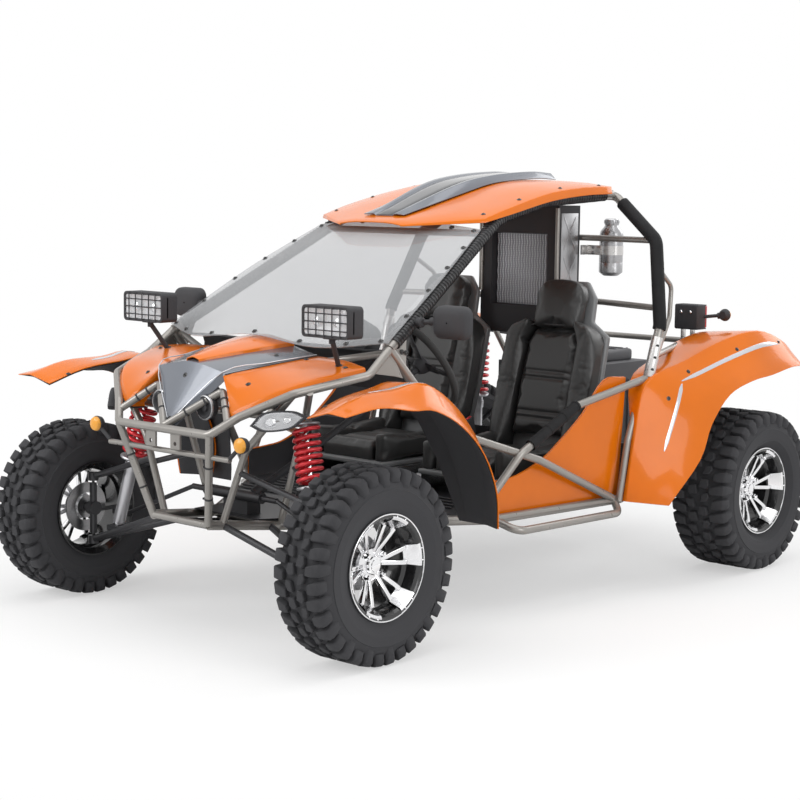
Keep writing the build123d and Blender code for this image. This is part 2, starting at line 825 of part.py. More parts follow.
arm_eye = 14
arm_drop = 8
arm_width = 24
arm_thickness = 10
ball_height = 2 * arm_tube + joint_gap * 4
kingpin_x = front_track_half - kingpin_inset
ball_drop = knuckle_half_height + ball_height * 0.8
front_lower_ball = Vector(kingpin_x, -axle_y, tyre_radius - ball_drop)
front_upper_ball = Vector(kingpin_x, -axle_y, tyre_radius + ball_drop)
shock_top = at(0.453, -0.737, 0.471)
shock_pad = Vector(shock_pad_width, shock_pad_length, shock_pad_height)
arm_root = between(bumper_foot, rail_front, 0.525)
shock_foot = between(arm_root, front_lower_ball, 0.72) + Vector(0, 0, 1.5 * shock_pad_height)
shock_split_share = 0.54


def front_arms(frame):
    """The front A-arms: two legs each, meeting in a ball housing at the upright."""
    ball = Cylinder(ball_radius, ball_height)
    upper_tube = arm_tube * 0.85
    lower = fused(
        [
            bar_between(between(bumper_foot, rail_front, 0.2), front_lower_ball, arm_tube),
            bar_between(between(bumper_foot, rail_front, 0.85), front_lower_ball, arm_tube),
            Pos(front_lower_ball) * ball,
            Pos(shock_foot - Vector(0, 0, shock_pad.Z / 2 + fit_gap))
            * Box(shock_pad.X, shock_pad.Y, shock_pad.Z),
        ]
    )
    upper = fused(
        [
            bar_between(between(tower_front_foot, tower_front_knee, 0.71), front_upper_ball, upper_tube),
            bar_between(between(rail_front, tower_knee, 0.57), front_upper_ball, upper_tube),
            Pos(front_upper_ball) * ball,
        ]
    )
    return both_sides([lower - frame, upper - frame])


rear_hub_inset = 87
rear_hub_x = rear_track_half - rear_hub_inset
rear_shock_lean = 125
hub_block_width = 34
hub_block_length = 60
rear_lower_ball = Vector(rear_hub_x, axle_y, tyre_radius - knuckle_half_height)
rear_upper_ball = Vector(rear_hub_x, axle_y, tyre_radius + knuckle_half_height)
rear_shock_top = Vector(rear_hub_x - rear_shock_lean, at(0, 0.701, 0).Y, at(0, 0, 0.553).Z)
rear_arm_root = between(rear_low_bend, rear_low_end, 0.4)
rear_shock_rise = Vector(0, 0, arm_tube * 0.67)
rear_shock_foot = between(rear_arm_root, rear_lower_ball, 0.729) + rear_shock_rise


def rear_hubs():
    """The rear uprights, each with the stub that carries its wheel."""
    middle = Vector(rear_hub_x, axle_y, tyre_radius)
    block = Pos(middle) * Box(
        hub_block_width, hub_block_length, 2 * (knuckle_half_height + arm_tube)
    )
    stub_end = rear_track_half + rear_rim_width / 2 - hub_depth - joint_gap
    stub = bar_between(middle, Vector(stub_end, axle_y, tyre_radius), spindle_radius)
    return both_sides([fused([block, stub])])


def rear_arms(frame, hubs):
    """The rear A-arms from the engine frame out to the uprights."""
    upper_tube = arm_tube * 0.85
    lower = fused(
        [
            bar_between(between(rear_low_bend, rear_low_end, 0.4), rear_lower_ball, arm_tube),
            bar_between(between(rear_low_bend, rear_low_end, 0.95), rear_lower_ball, arm_tube),
        ]
    )
    upper = fused(
        [
            bar_between(between(rear_high_bend, rear_low_end, 0.5), rear_upper_ball, upper_tube),
            bar_between(between(rear_low_bend, rear_low_end, 0.1), rear_upper_ball, upper_tube),
        ]
    )
    arms = [lower - frame, upper - frame]
    for hub in hubs:
        arms = [arm - hub for arm in arms]
    return both_sides(arms)


def shock(top, foot):
    """A coil-over damper: body, rod and spring seats, from its foot to its top eye."""
    line = (top - foot).normalized()
    split = between(foot, top, shock_split_share)
    body = bar_between(foot, split, shock_body_radius)
    rod = bar_between(split, top, shock_rod_radius)
    seat_low = bar_between(split - line * spring_wire, split, spring_radius + spring_wire)
    high_end = top - line * shock_body_radius
    seat_high = bar_between(high_end, high_end + line * spring_wire, spring_radius + spring_wire)
    return fused([body, rod, seat_low, seat_high])


def dampers(top, foot, neighbours):
    """A pair of dampers, shaped to what holds them."""
    one = shock(top, foot)
    for neighbour in neighbours:
        one = one - neighbour
    return both_sides([one])


wire_sides = 5
turn_steps = 9


def spring(top, foot):
    """The coil round a damper's rod, a many-sided wire wound between its two seats."""
    line = (top - foot).normalized()
    start = between(foot, top, shock_split_share) + line * (spring_wire + fit_gap)
    length = (top - line * shock_body_radius - start).length - spring_wire - fit_gap
    base = Plane(origin=start, z_dir=line)
    rings = []
    for number in range(spring_turns * turn_steps + 1):
        turn = 2 * pi * number / turn_steps
        rise = length * number / (spring_turns * turn_steps)
        out = base.x_dir * cos(turn) + base.y_dir * sin(turn)
        heading = base.y_dir * cos(turn) - base.x_dir * sin(turn)
        place = start + out * spring_radius + line * rise
        ring = Plane(origin=place, x_dir=out, z_dir=heading)
        rings.append(ring * RegularPolygon(spring_wire, wire_sides))
    return loft(rings, ruled=True)


rack_place = Vector(0, -axle_y + steer_arm_length, at(0, 0, 0.279).Z)
column_top = at(0.337, -0.242, 0.552)
column_foot = rack_place + Vector(rack_half * 0.8, pinion_back, pinion_depth)


def steering_rack(frame):
    """The rack housing with its pinion box and the bracket down to the cross member."""
    low = rack_place - Vector(rack_half, 0, 0)
    high = rack_place + Vector(rack_half, 0, 0)
    housing = bar_between(low, high, rack_housing_radius)
    bracket_low = Vector(
        -rack_bracket_half, rack_place.Y + overrun, rail_front.Z + brace_tube + overrun
    )
    bracket_high = Vector(rack_bracket_half, rail_front.Y + brace_tube, rack_place.Z)
    bracket = box_at(bracket_low, bracket_high)
    stretch = Vector(overrun, 0, 0)
    bore = bar_between(low - stretch, high + stretch, rack_radius + fit_gap)
    line = (column_top - column_foot).normalized()
    pinion_box = bar_between(
        column_foot - line * pinion_depth, column_foot + line * pinion_depth, rack_housing_radius
    )
    socket = bar_between(
        column_foot - line * fit_gap, column_foot + line * 2 * pinion_depth, column_radius + fit_gap
    )
    return (housing + bracket + pinion_box) - bore - socket - frame


def tie_rods():
    """The rack bar with its two tie rods, which slide together."""
    inner = rack_place + Vector(rack_half * 1.5, 0, 0)
    eye_z = tyre_radius - arm_drop - arm_thickness / 2 - tie_rod_radius - 2 * joint_gap
    outer = Vector(kingpin_x, -axle_y + steer_arm_length, eye_z)
    bend = outer - Vector(steer_arm_length * 0.7, 0, 0)
    bar = bar_between(opposite(inner), inner, rack_radius)
    rod = tube([inner, bend, outer], tie_rod_radius, tube_bend)
    eye = Pos(outer) * Cylinder(arm_width / 2, 2 * (tie_rod_radius + joint_gap))
    return fused([bar] + both_sides([rod, eye]))


def steering_wheel():
    """The steering wheel with its spokes, hub and straight column."""
    line = (column_top - column_foot).normalized()
    face = Plane(origin=column_top, x_dir=(1, 0, 0), z_dir=line)
    ring = face * Torus(wheel_rim_radius, wheel_rim_tube)
    hub = face * Cylinder(wheel_rim_tube * 2.6, wheel_rim_tube * 2.4)
    shaft = bar_between(column_foot, column_top, column_radius)
    spokes = []
    for turn in (0, 180, 270):
        bar = Box(wheel_rim_radius, wheel_rim_tube * 2, wheel_rim_tube * 0.6)
        spokes.append(face * Rot(0, 0, turn) * Pos(wheel_rim_radius / 2, 0, 0) * bar)
    return fused([ring, hub, shaft] + spokes)


def dashboard(fixed):
    """The black panel under the windscreen with its instrument hood."""
    rows = [
        [at(-0.577, -0.543, 0.607), at(0.577, -0.543, 0.607)],
        [at(-0.571, -0.484, 0.604), at(0.571, -0.484, 0.604)],
        [at(-0.582, -0.47, 0.584), at(0.582, -0.47, 0.584)],
        [at(-0.6, -0.47, 0.519), at(0.6, -0.47, 0.519)],
    ]
    panel = sheet_from_rows(rows, panel_thickness, (0, -0.6, -1))
    pod = Pos(at(0.337, -0.481, 0.616)) * Rot(pod_tilt, 0, 0) * Cylinder(pod_radius, pod_depth)
    return (panel + pod) - fixed


lamp_size = Vector(lamp_width, lamp_depth, lamp_height)
lamp_middle = at(0.52, -0.691, 0.675)
lamp_foot = at(0.489, -0.647, 0.574)
mirror_middle = at(0.75, -0.436, 0.669)
mirror_size = Vector(mirror_width, mirror_depth, mirror_height)
signal_front = at(0.416, -0.917, 0.429)
signal_rear = at(0.692, 0.824, 0.636)
tail_lamp_middle = at(0.542, 0.792, 0.629)
headlamp_middle = at(0.461, -0.833, 0.474)
horn_middle = at(0.127, -0.855, 0.488)


def work_lamps(fixed):
    """The two boxy lamps on stalks above the hood, with guard bars over the lens."""
    body = Pos(lamp_middle) * Box(lamp_size.X, lamp_size.Y, lamp_size.Z)
    body = fillet(body.edges().filter_by(Axis.Y), lamp_size.Z / 8)
    front = lamp_middle - Vector(0, lamp_size.Y / 2, 0)
    recess = Pos(front) * Box(lamp_size.X * 0.9, lamp_size.Y * 0.3, lamp_size.Z * 0.8)
    body -= recess
    guards = []
    for number in range(4):
        place = front + Vector((number - 1.5) * lamp_size.X * 0.2, 0, 0)
        guards.append(Pos(place) * Box(light_tube / 2, light_tube, lamp_size.Z * 0.84))
    for number in range(3):
        place = front + Vector(0, 0, (number - 1) * lamp_size.Z * 0.24)
        guards.append(Pos(place) * Box(lamp_size.X * 0.92, light_tube, light_tube / 2))
    stalk = tube([lamp_foot, lamp_middle - Vector(0, 0, lamp_size.Z * 0.45)], light_tube)
    return both_sides([clear_of(fused([body, stalk] + guards), fixed)])


headlamp_outline_shares = (
    (-0.465, -0.07),
    (-0.20, 0.54),
    (0.29, 0.46),
    (0.535, 0.07),
    (0.23, -0.46),
    (-0.23, -0.46),
)


def headlamps(fixed):
    """The eye-shaped headlamps under the side rails."""
    corners = [(a * headlamp_length, b * headlamp_height) for a, b in headlamp_outline_shares]
    shape = make_face(Polyline(*corners, close=True))
    face = Plane(origin=headlamp_middle, x_dir=(0.72, 0.69, 0.12), z_dir=(0.66, -0.72, 0.1))
    return both_sides([extrude(face * shape, headlamp_half_depth, both=True) - fixed])


def clear_of(shape, neighbours):
    """The shape without what its neighbours take up."""
    for neighbour in neighbours:
        shape = shape - neighbour
    return shape


def signal_lamps(neighbours):
    """The round amber lamps on their stalks, two in front and two behind."""
    front = Pos(signal_front) * Rot(90, 0, 0) * Cylinder(signal_radius, signal_length)
    front_stalk = bar_between(at(0.346, -0.912, 0.397), signal_front, light_tube)
    rear = Pos(signal_rear) * Rot(90, 0, 0) * Cylinder(rear_signal_radius, rear_signal_length)
    rear_stalk = bar_between(tail_lamp_middle, signal_rear, light_tube)
    return both_sides(
        [clear_of(front + front_stalk, neighbours), clear_of(rear + rear_stalk, neighbours)]
    )


def tail_lamps(fixed):
    """The square tail lamps on their brackets above the rear frame."""
    body = Pos(tail_lamp_middle) * Box(tail_lamp_width, tail_lamp_depth, tail_lamp_height)
    foot_drop = Vector(0, -tail_lamp_depth / 4, -tail_lamp_height * 0.63)
    foot = Box(tail_foot_width, tail_foot_depth, tail_foot_width)
    foot = Pos(tail_lamp_middle + foot_drop) * foot
    return both_sides([(body + foot) - fixed])


def mirrors(neighbours):
    """The rounded mirrors on arms from the pillars."""
    head = Pos(mirror_middle) * Box(mirror_size.X, mirror_size.Y, mirror_size.Z)
    head = fillet(head.edges().filter_by(Axis.Y), mirror_size.Z * 0.3)
    arm = tube([at(0.609, -0.452, 0.667), mirror_middle], light_tube)
    return both_sides([clear_of(head + arm, neighbours)])


def horns(neighbours):
    """The two round horns inside the nose."""
    body = Pos(horn_middle) * Rot(90, 0, 0) * Cylinder(horn_radius, horn_length)
    stem = bar_between(horn_middle, at(0.173, -0.838, 0.52), light_tube)
    return both_sides([clear_of(body + stem, neighbours)])


bottle_middle = at(0.334, 0.568, 0.8)


def coolant_bottle(fixed):
    """The polished bottle behind the seats with its cap and the bracket to the radiator."""
    body = Cylinder(bottle_radius, bottle_height)
    body = chamfer(body.edges(), bottle_radius * 0.3)
    cap_rise = bottle_height / 2 + bottle_cap_height * 0.46
    cap = Pos(0, 0, cap_rise) * Cylinder(bottle_radius * 0.62, bottle_cap_height)
    bracket = Pos(-bottle_radius * 1.2, -bottle_radius, 0) * Box(
        bottle_bracket_length, bottle_bracket_depth, bottle_bracket_height
    )
    return clear_of(Pos(bottle_middle) * (body + cap + bracket), fixed)


engine_low = Vector(-engine_width / 2, at(0, 0.514, 0).Y, at(0, 0, 0.252).Z)


def engine_block():
    """The engine and gearbox as one plain block on the rear frame."""
    high = engine_low + Vector(engine_width, engine_length, engine_height)
    block = box_at(engine_low, high)
    gearbox_low = Vector(
        -gearbox_width / 2, axle_y - gearbox_length / 2, tyre_radius - gearbox_drop
    )
    gearbox_high = Vector(gearbox_width / 2, axle_y + gearbox_length / 2, engine_low.Z + overrun)
    return block + box_at(gearbox_low, gearbox_high)


def half_shafts(engine, hubs):
    """The shafts from the gearbox to the rear uprights, with boots at both ends."""
    inner = Vector(gearbox_width / 2, axle_y, tyre_radius)
    outer = Vector(rear_hub_x, axle_y, tyre_radius)
    shaft = bar_between(inner, outer, column_radius)
    sideways = Rot(0, 90, 0)
    boot = Cone(boot_radius, boot_neck, boot_length)
    boot = Pos(inner + Vector(boot_length / 2, 0, 0)) * sideways * boot
    boot_end = Cone(boot_neck, outer_boot_radius, outer_boot_length)
    boot_end_place = outer - Vector(hub_block_width / 2 + outer_boot_length / 2, 0, 0)
    boot_end = Pos(boot_end_place) * sideways * boot_end
    one = fused([shaft, boot, boot_end]) - engine
    for hub in hubs:
        one = one - hub
    return both_sides([one])


def muffler(engine):
    """The silencer across the tail with its pipe from the engine."""
    tail = engine_low.Y + engine_length
    middle = Vector(0, tail + muffler_gap + muffler_radius, engine_low.Z + engine_height * 0.45)
    can = Pos(middle) * Rot(0, 90, 0) * Cylinder(muffler_radius, muffler_length)
    port = Vector(muffler_length / 4, tail - muffler_gap, middle.Z + muffler_radius * 1.35)
    over = Vector(port.X, middle.Y - muffler_radius * 0.8, port.Z)
    into = Vector(port.X, middle.Y, middle.Z + muffler_radius / 2)
    pipe = tube([port, over, into], exhaust_pipe_radius, exhaust_bend)
    return fused([can, pipe]) - engine


def wheel_liners(fixed):
    """The black inner guards behind the front wheels."""
    rows = [
        [at(0.542, -0.47, 0.494), at(0.692, -0.47, 0.494)],
        [at(0.554, -0.411, 0.448), at(0.738, -0.411, 0.448)],
        [at(0.6, -0.371, 0.364), at(0.796, -0.371, 0.364)],
        [at(0.646, -0.338, 0.26), at(0.83, -0.338, 0.26)],
        [at(0.663, -0.33, 0.227), at(0.83, -0.33, 0.227)],
    ]
    return both_sides([clear_of(sheet_from_rows(rows, sheet_thickness, (0, 1, 0)), fixed)])


def body_parts():
    """Every piece that the frame carries, by name."""
    frame = main_frame()
    bumper = front_bumper(frame)
    cage = roll_cage(frame, bumper)
    welded = fused([frame, bumper, cage])
    guards = side_guards(welded)
    bars = fused([welded] + guards)
    hubs = rear_hubs()
    engine = engine_block()
    wraps = pillar_wraps(bars)
    floor = floor_pan() - bars
    nose = hood_nose() - welded
    hood_flanks = both_sides([hood_side() - welded])
    shroud = radiator_shroud() - bars
    arms = front_arms(frame)
    back_arms = rear_arms(frame, hubs)
    lamps = tail_lamps(welded)
    panel = side_panel(welded)
    front_fender = fender(-axle_y, front_fender_stations) - bars
    rear_fender = fender(axle_y, rear_fender_stations) - bars
    bucket = seat()
    return {
        "main_frame": frame,
        "front_bumper": bumper,
        "roll_cage": cage,
        "side_guards": guards,
        "bar_pads": bar_pads(bars),
        "pillar_wraps": wraps,
        "floor_pan": floor,
        "skid_plate": skid_plate() - bars,
        "radiator_shroud": shroud,
        "radiator_core": radiator_core(),
        "hood_nose": nose,
        "hood_center": clear_of(hood_center(), [welded, nose]),
        "hood_sides": hood_flanks,
        "roof_panel": roof_panel([welded] + wraps),
        "roof_scoop": roof_scoop(),
        "windscreen": windscreen() - welded,
        "dashboard": dashboard(welded),
        "front_fender_left": front_fender,
        "front_fender_right": mirrored(front_fender),
        "rear_fender_left": rear_fender,
        "rear_fender_right": mirrored(rear_fender),
        "wheel_liners": wheel_liners([welded, front_fender]),
        "side_panel_left": panel,
        "side_panel_right": mirrored(panel),
        "seat_left": bucket,
        "seat_right": mirrored(bucket),
        "work_lamps": work_lamps([welded] + hood_flanks),
        "headlamps": headlamps(bars),
        "signal_lamps": signal_lamps([welded] + lamps),
        "tail_lamps": lamps,
        "mirrors": mirrors([welded] + wraps),
        "horns": horns([welded, nose]),
        "coolant_bottle": coolant_bottle([shroud, bars]),
        "engine_block": engine,
        "muffler": muffler(engine),
        "half_shafts": half_shafts(engine, hubs),
        "rear_hubs": hubs,
        "front_arms": arms,
        "rear_arms": back_arms,
        "front_shocks": dampers(shock_top, shock_foot, [frame] + arms),
        "rear_shocks": dampers(rear_shock_top, rear_shock_foot, [frame] + back_arms),
        "front_springs": both_sides([spring(shock_top, shock_foot)]),
        "rear_springs": both_sides([spring(rear_shock_top, rear_shock_foot)]),
        "steering_rack": steering_rack(frame) - floor,
    }


def moving_parts():
    """The steering gear, the uprights and the four wheels, by name."""
    knuckle = front_knuckle()
    parts = {
        "tie_rods": tie_rods(),
        "steering_wheel": steering_wheel(),
        "knuckle_left": knuckle,
        "knuckle_right": mirrored(knuckle),
    }
    # Columns: name, tyre width, rim width, half track, place of the axle
    axles = (
        ("front", front_tyre_width, front_rim_width, front_track_half, -axle_y),
        ("rear", rear_tyre_width, rear_rim_width, rear_track_half, axle_y),
    )
    for name, tyre_width, rim_width, half_track, axle in axles:
        rim = wheel(rim_width, half_track, axle)
        rubber = tyre(tyre_width, rim_width, half_track, axle)
        parts[f"wheel_{name}_left"] = rim
        parts[f"wheel_{name}_right"] = mirrored(rim)
        parts[f"tyre_{name}_left"] = rubber
        parts[f"tyre_{name}_right"] = mirrored(rubber)
    return parts


def all_parts():
    """Every piece of the vehicle by name."""
    return {**body_parts(), **moving_parts()}


def main():
    """Writes each piece to its own file."""
    os.makedirs("parts", exist_ok=True)
    for name, shape in all_parts().items():
        pieces = shape if isinstance(shape, list) else [shape]
        solids = [solid for piece in pieces for solid in piece.solids()]
        export_step(Compound(solids) if len(solids) > 1 else solids[0], f"parts/{name}.step")


if __name__ == "__main__":
    main()
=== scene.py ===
"""The looks of a two-seat dune buggy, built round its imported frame.

Lengths are in metres in the vehicle's frame: the nose points along -Y, +X is the
vehicle's left, +Z is up, and the wheels stand on the ground at z = 0.
"""

from __future__ import annotations

import json
import logging
import math
from collections.abc import Callable, Iterable, Sequence
from dataclasses import dataclass, field
from enum import Enum

import bmesh
import bpy
from mathutils import Matrix, Vector

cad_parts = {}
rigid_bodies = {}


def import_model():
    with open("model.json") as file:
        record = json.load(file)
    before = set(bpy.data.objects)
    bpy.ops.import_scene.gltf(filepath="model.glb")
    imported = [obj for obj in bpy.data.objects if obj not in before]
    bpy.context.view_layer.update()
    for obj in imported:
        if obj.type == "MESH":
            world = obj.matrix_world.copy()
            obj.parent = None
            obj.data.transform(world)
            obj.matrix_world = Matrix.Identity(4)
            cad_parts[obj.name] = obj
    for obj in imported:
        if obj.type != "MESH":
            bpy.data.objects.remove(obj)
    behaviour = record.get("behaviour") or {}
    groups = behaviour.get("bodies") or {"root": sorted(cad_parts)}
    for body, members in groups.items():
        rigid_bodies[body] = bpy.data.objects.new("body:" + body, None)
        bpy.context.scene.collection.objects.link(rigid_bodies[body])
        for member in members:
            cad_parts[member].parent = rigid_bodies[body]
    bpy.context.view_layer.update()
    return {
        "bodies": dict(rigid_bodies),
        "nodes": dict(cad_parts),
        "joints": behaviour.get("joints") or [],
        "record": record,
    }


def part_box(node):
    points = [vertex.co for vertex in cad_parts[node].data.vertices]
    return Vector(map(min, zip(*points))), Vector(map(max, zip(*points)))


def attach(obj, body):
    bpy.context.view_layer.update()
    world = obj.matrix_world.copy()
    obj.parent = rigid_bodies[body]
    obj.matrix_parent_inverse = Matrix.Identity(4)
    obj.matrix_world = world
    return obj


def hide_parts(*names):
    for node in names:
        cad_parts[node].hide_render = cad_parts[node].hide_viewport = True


log = logging.getLogger("buggy")

Point = Sequence[float]
Pair = tuple[float, float]
Colour = tuple[float, float, float]

CHASSIS = "chassis"

UP = (0, 0, 1)
DOWN = (0, 0, -1)
AHEAD = (0, -1, 0)
BACKWARDS = (0, 1, 0)

# Lengths, the cloth's numbers and the places of the frame that several pieces share
AXLE_HEIGHT = 0.310
PANEL_WALL = 0.004
PANEL_EDGE = 0.0014
DROP = 0.25
CLOTH_FRAMES = 20
PILLAR_FOOT = (0.535, -0.765, 0.945)
PILLAR_KNEE = (0.375, -0.030, 1.360)
ROOF_SHOULDER = (0.362, 0.250, 1.424)
HOOP_FOOT = (0.660, 0.374, 0.337)
HOOP_SHOULDER = (0.680, 0.556, 0.970)
NOSE_CORNER = (0.158, -1.145, 0.809)


class Side(Enum):
    """A side of the vehicle, with its sign along X."""

    LEFT = 1
    RIGHT = -1


class Axle(Enum):
    """An axle, with its place along Y."""

    FRONT = -1.053
    REAR = 1.053


# Finishes


@dataclass(frozen=True)
class Finish:
    """A painted, moulded or metal surface with colour drift, grain and gloss drift."""

    name: str
    colour: Colour
    rough: float = 0.5
    metal: float = 0.0
    coat: float = 0.0
    drift: float = 0.08
    drift_scale: float = 5.0
    rough_drift: float = 0.08
    grain: float = 0.05
    grain_scale: float = 350.0
    wear: float = 0.0
    wear_colour: Colour = (0.5, 0.5, 0.5)
    shine: float = 0.5

    def tree(self) -> tuple[bpy.types.Material, bpy.types.NodeTree, bpy.types.Node]:
        """Make an empty node material with its shader and output.

        Returns:
            The material, its tree and its shader node.
        """
        made = bpy.data.materials.new(self.name)
        made.use_nodes = True
        nodes = made.node_tree.nodes
        nodes.clear()
        shader = nodes.new("ShaderNodeBsdfPrincipled")
        output = nodes.new("ShaderNodeOutputMaterial")
        made.node_tree.links.new(shader.outputs["BSDF"], output.inputs["Surface"])
        return made, made.node_tree, shader

    def place(self, tree: bpy.types.NodeTree) -> bpy.types.NodeSocket:
        """Return the socket with the place on the object.

        Args:
            tree: The material's node tree.

        Returns:
            The Object output of a Texture Coordinate node.
        """
        return tree.nodes.new("ShaderNodeTexCoord").outputs["Object"]

    def noise(
        self,
        tree: bpy.types.NodeTree,
        place: bpy.types.NodeSocket,
        scale: float,
        detail: float = 3.0,
    ) -> bpy.types.NodeSocket:
        """Add a noise texture.

        Args:
            tree: The material's node tree.
            place: The coordinates that it reads.
            scale: The noise's scale.
            detail: The number of octaves.

        Returns:
            The noise's value.
        """
        node = tree.nodes.new("ShaderNodeTexNoise")
        node.inputs["Scale"].default_value = scale
        node.inputs["Detail"].default_value = detail
        tree.links.new(place, node.inputs["Vector"])
        return node.outputs["Fac"]

    def ramp(
        self, tree: bpy.types.NodeTree, value: bpy.types.NodeSocket, low: float, high: float
    ) -> bpy.types.NodeSocket:
        """Map a noise value to a range.

        Args:
            tree: The material's node tree.
            value: The value to map.
            low: The result where the noise is darkest.
            high: The result where the noise is brightest.

        Returns:
            The mapped value.
        """
        node = tree.nodes.new("ShaderNodeMapRange")
        node.inputs["From Min"].default_value = 0.3
        node.inputs["From Max"].default_value = 0.7
        node.inputs["To Min"].default_value = low
        node.inputs["To Max"].default_value = high
        tree.links.new(value, node.inputs["Value"])
        return node.outputs["Result"]

    def mix(
        self,
        tree: bpy.types.NodeTree,
        share: bpy.types.NodeSocket,
        first: Colour | bpy.types.NodeSocket,
        second: Colour | bpy.types.NodeSocket,
    ) -> bpy.types.NodeSocket:
        """Mix two colours.

        Args:
            tree: The material's node tree.
            share: The share of the second colour.
            first: A colour, or a socket that gives one.
            second: A colour, or a socket that gives one.

        Returns:
            The mixed colour.
        """
        node = tree.nodes.new("ShaderNodeMix")
        node.data_type = "RGBA"
        tree.links.new(share, node.inputs["Factor"])
        for name, value in (("A", first), ("B", second)):
            socket = next(s for s in node.inputs if s.name == name and s.type == "RGBA")
            if isinstance(value, tuple):
                socket.default_value = (*value, 1.0)
            else:
                tree.links.new(value, socket)
        return next(s for s in node.outputs if s.type == "RGBA")

    def bump(
        self,
        tree: bpy.types.NodeTree,
        shader: bpy.types.Node,
        height: bpy.types.NodeSocket,
        strength: float,
        depth: float = 0.001,
    ) -> None:
        """Link a height to the shader's normal.

        Args:
            tree: The material's node tree.
            shader: The shader node.
            height: The height value.
            strength: The bump's strength.
            depth: The height that a value of 1 stands for.
        """
        node = tree.nodes.new("ShaderNodeBump")
        node.inputs["Strength"].default_value = strength
        node.inputs["Distance"].default_value = depth
        tree.links.new(height, node.inputs["Height"])
        tree.links.new(node.outputs["Normal"], shader.inputs["Normal"])

    def base(self, tree: bpy.types.NodeTree, place: bpy.types.NodeSocket) -> bpy.types.NodeSocket:
        """Give the drifting base colour, with worn patches laid by a noise.

        Args:
            tree: The material's node tree.
            place: The coordinates that the pattern reads.

        Returns:
            The colour socket.
        """
        dark = tuple(c * (1 - self.drift) for c in self.colour)
        light = tuple(min(1.0, c * (1 + self.drift)) for c in self.colour)
        cloud = self.ramp(tree, self.noise(tree, place, self.drift_scale), 0.0, 1.0)
        colour = self.mix(tree, cloud, dark, light)
        if self.wear > 0:
            scratches = self.noise(tree, place, self.grain_scale * 0.25, 6.0)
            worn = self.ramp(tree, scratches, -1.6, self.wear)
            colour = self.mix(tree, worn, colour, self.wear_colour)
        return colour

    def dress(
        self, tree: bpy.types.NodeTree, shader: bpy.types.Node, place: bpy.types.NodeSocket
    ) -> None:
        """Link this finish's patterns to the shader.

        Args:
            tree: The material's node tree.
            shader: The shader node.
            place: The coordinates that the patterns read.
        """
        shader.inputs["Metallic"].default_value = self.metal
        shader.inputs["Coat Weight"].default_value = self.coat
        shader.inputs["Coat Roughness"].default_value = 0.04
        shader.inputs["Specular IOR Level"].default_value = self.shine
        tree.links.new(self.base(tree, place), shader.inputs["Base Color"])
        gloss = self.noise(tree, place, self.drift_scale * 6, 4.0)
        low, high = self.rough * (1 - self.rough_drift), self.rough * (1 + self.rough_drift)
        tree.links.new(self.ramp(tree, gloss, low, high), shader.inputs["Roughness"])
        if self.grain > 0:
            self.bump(tree, shader, self.noise(tree, place, self.grain_scale), self.grain)

    def material(self) -> bpy.types.Material:
        """Return the material, made once.

        Returns:
            The material of this finish's name.
        """
        found = bpy.data.materials.get(self.name)
        if found is not None:
            return found
        made, tree, shader = self.tree()
        self.dress(tree, shader, self.place(tree))
        return made


@dataclass(frozen=True)
class Leather(Finish):
    """Vinyl with a pebbled grain of small cells and fine creases."""

    cell_scale: float = 900.0

    def dress(
        self, tree: bpy.types.NodeTree, shader: bpy.types.Node, place: bpy.types.NodeSocket
    ) -> None:
        """Link the drift, then the cells as the bump.

        Args:
            tree: The material's node tree.
            shader: The shader node.
            place: The coordinates that the patterns read.
        """
        super().dress(tree, shader, place)
        cells = tree.nodes.new("ShaderNodeTexVoronoi")
        cells.inputs["Scale"].default_value = self.cell_scale
        tree.links.new(place, cells.inputs["Vector"])
        folds = self.noise(tree, place, 38.0, 5.0)
        total = tree.nodes.new("ShaderNodeMath")
        total.operation = "MULTIPLY_ADD"
        total.inputs[1].default_value = 0.35
        tree.links.new(cells.outputs["Distance"], total.inputs[0])
        tree.links.new(folds, total.inputs[2])
        self.bump(tree, shader, total.outputs[0], 0.55, 0.0015)
        shader.inputs["Sheen Weight"].default_value = 0.15
        shader.inputs["Sheen Roughness"].default_value = 0.4


@dataclass(frozen=True)
class Brushed(Finish):
    """Machined or brushed metal with fine streaks along one axis."""

    stretch: Point = (6.0, 600.0, 600.0)

    def dress(
        self, tree: bpy.types.NodeTree, shader: bpy.types.Node, place: bpy.types.NodeSocket
    ) -> None:
        """Link the drift, then the streaks to the gloss and the bump.

        Args:
            tree: The material's node tree.
            shader: The shader node.
            place: The coordinates that the patterns read.
        """
        super().dress(tree, shader, place)
        turn = tree.nodes.new("ShaderNodeMapping")
        turn.inputs["Scale"].default_value = self.stretch
        tree.links.new(place, turn.inputs["Vector"])
        streaks = self.noise(tree, turn.outputs["Vector"], 1.0, 2.0)
        rough = self.ramp(tree, streaks, self.rough * 0.7, self.rough * 1.35)
        tree.links.new(rough, shader.inputs["Roughness"])
        self.bump(tree, shader, streaks, 0.08, 0.0005)


@dataclass(frozen=True)
class Clear(Finish):
    """A clear or tinted plastic or glass, thin enough to see through."""

    clarity: float = 1.0
    index: float = 1.45
    alpha: float = 1.0

    def dress(
        self, tree: bpy.types.NodeTree, shader: bpy.types.Node, place: bpy.types.NodeSocket
    ) -> None:
        """Link the drift and set the clear sockets.

        Args:
            tree: The material's node tree.
            shader: The shader node.
            place: The coordinates that the patterns read.
        """
        super().dress(tree, shader, place)
        shader.inputs["Transmission Weight"].default_value = self.clarity
        shader.inputs["IOR"].default_value = self.index
        shader.inputs["Alpha"].default_value = self.alpha


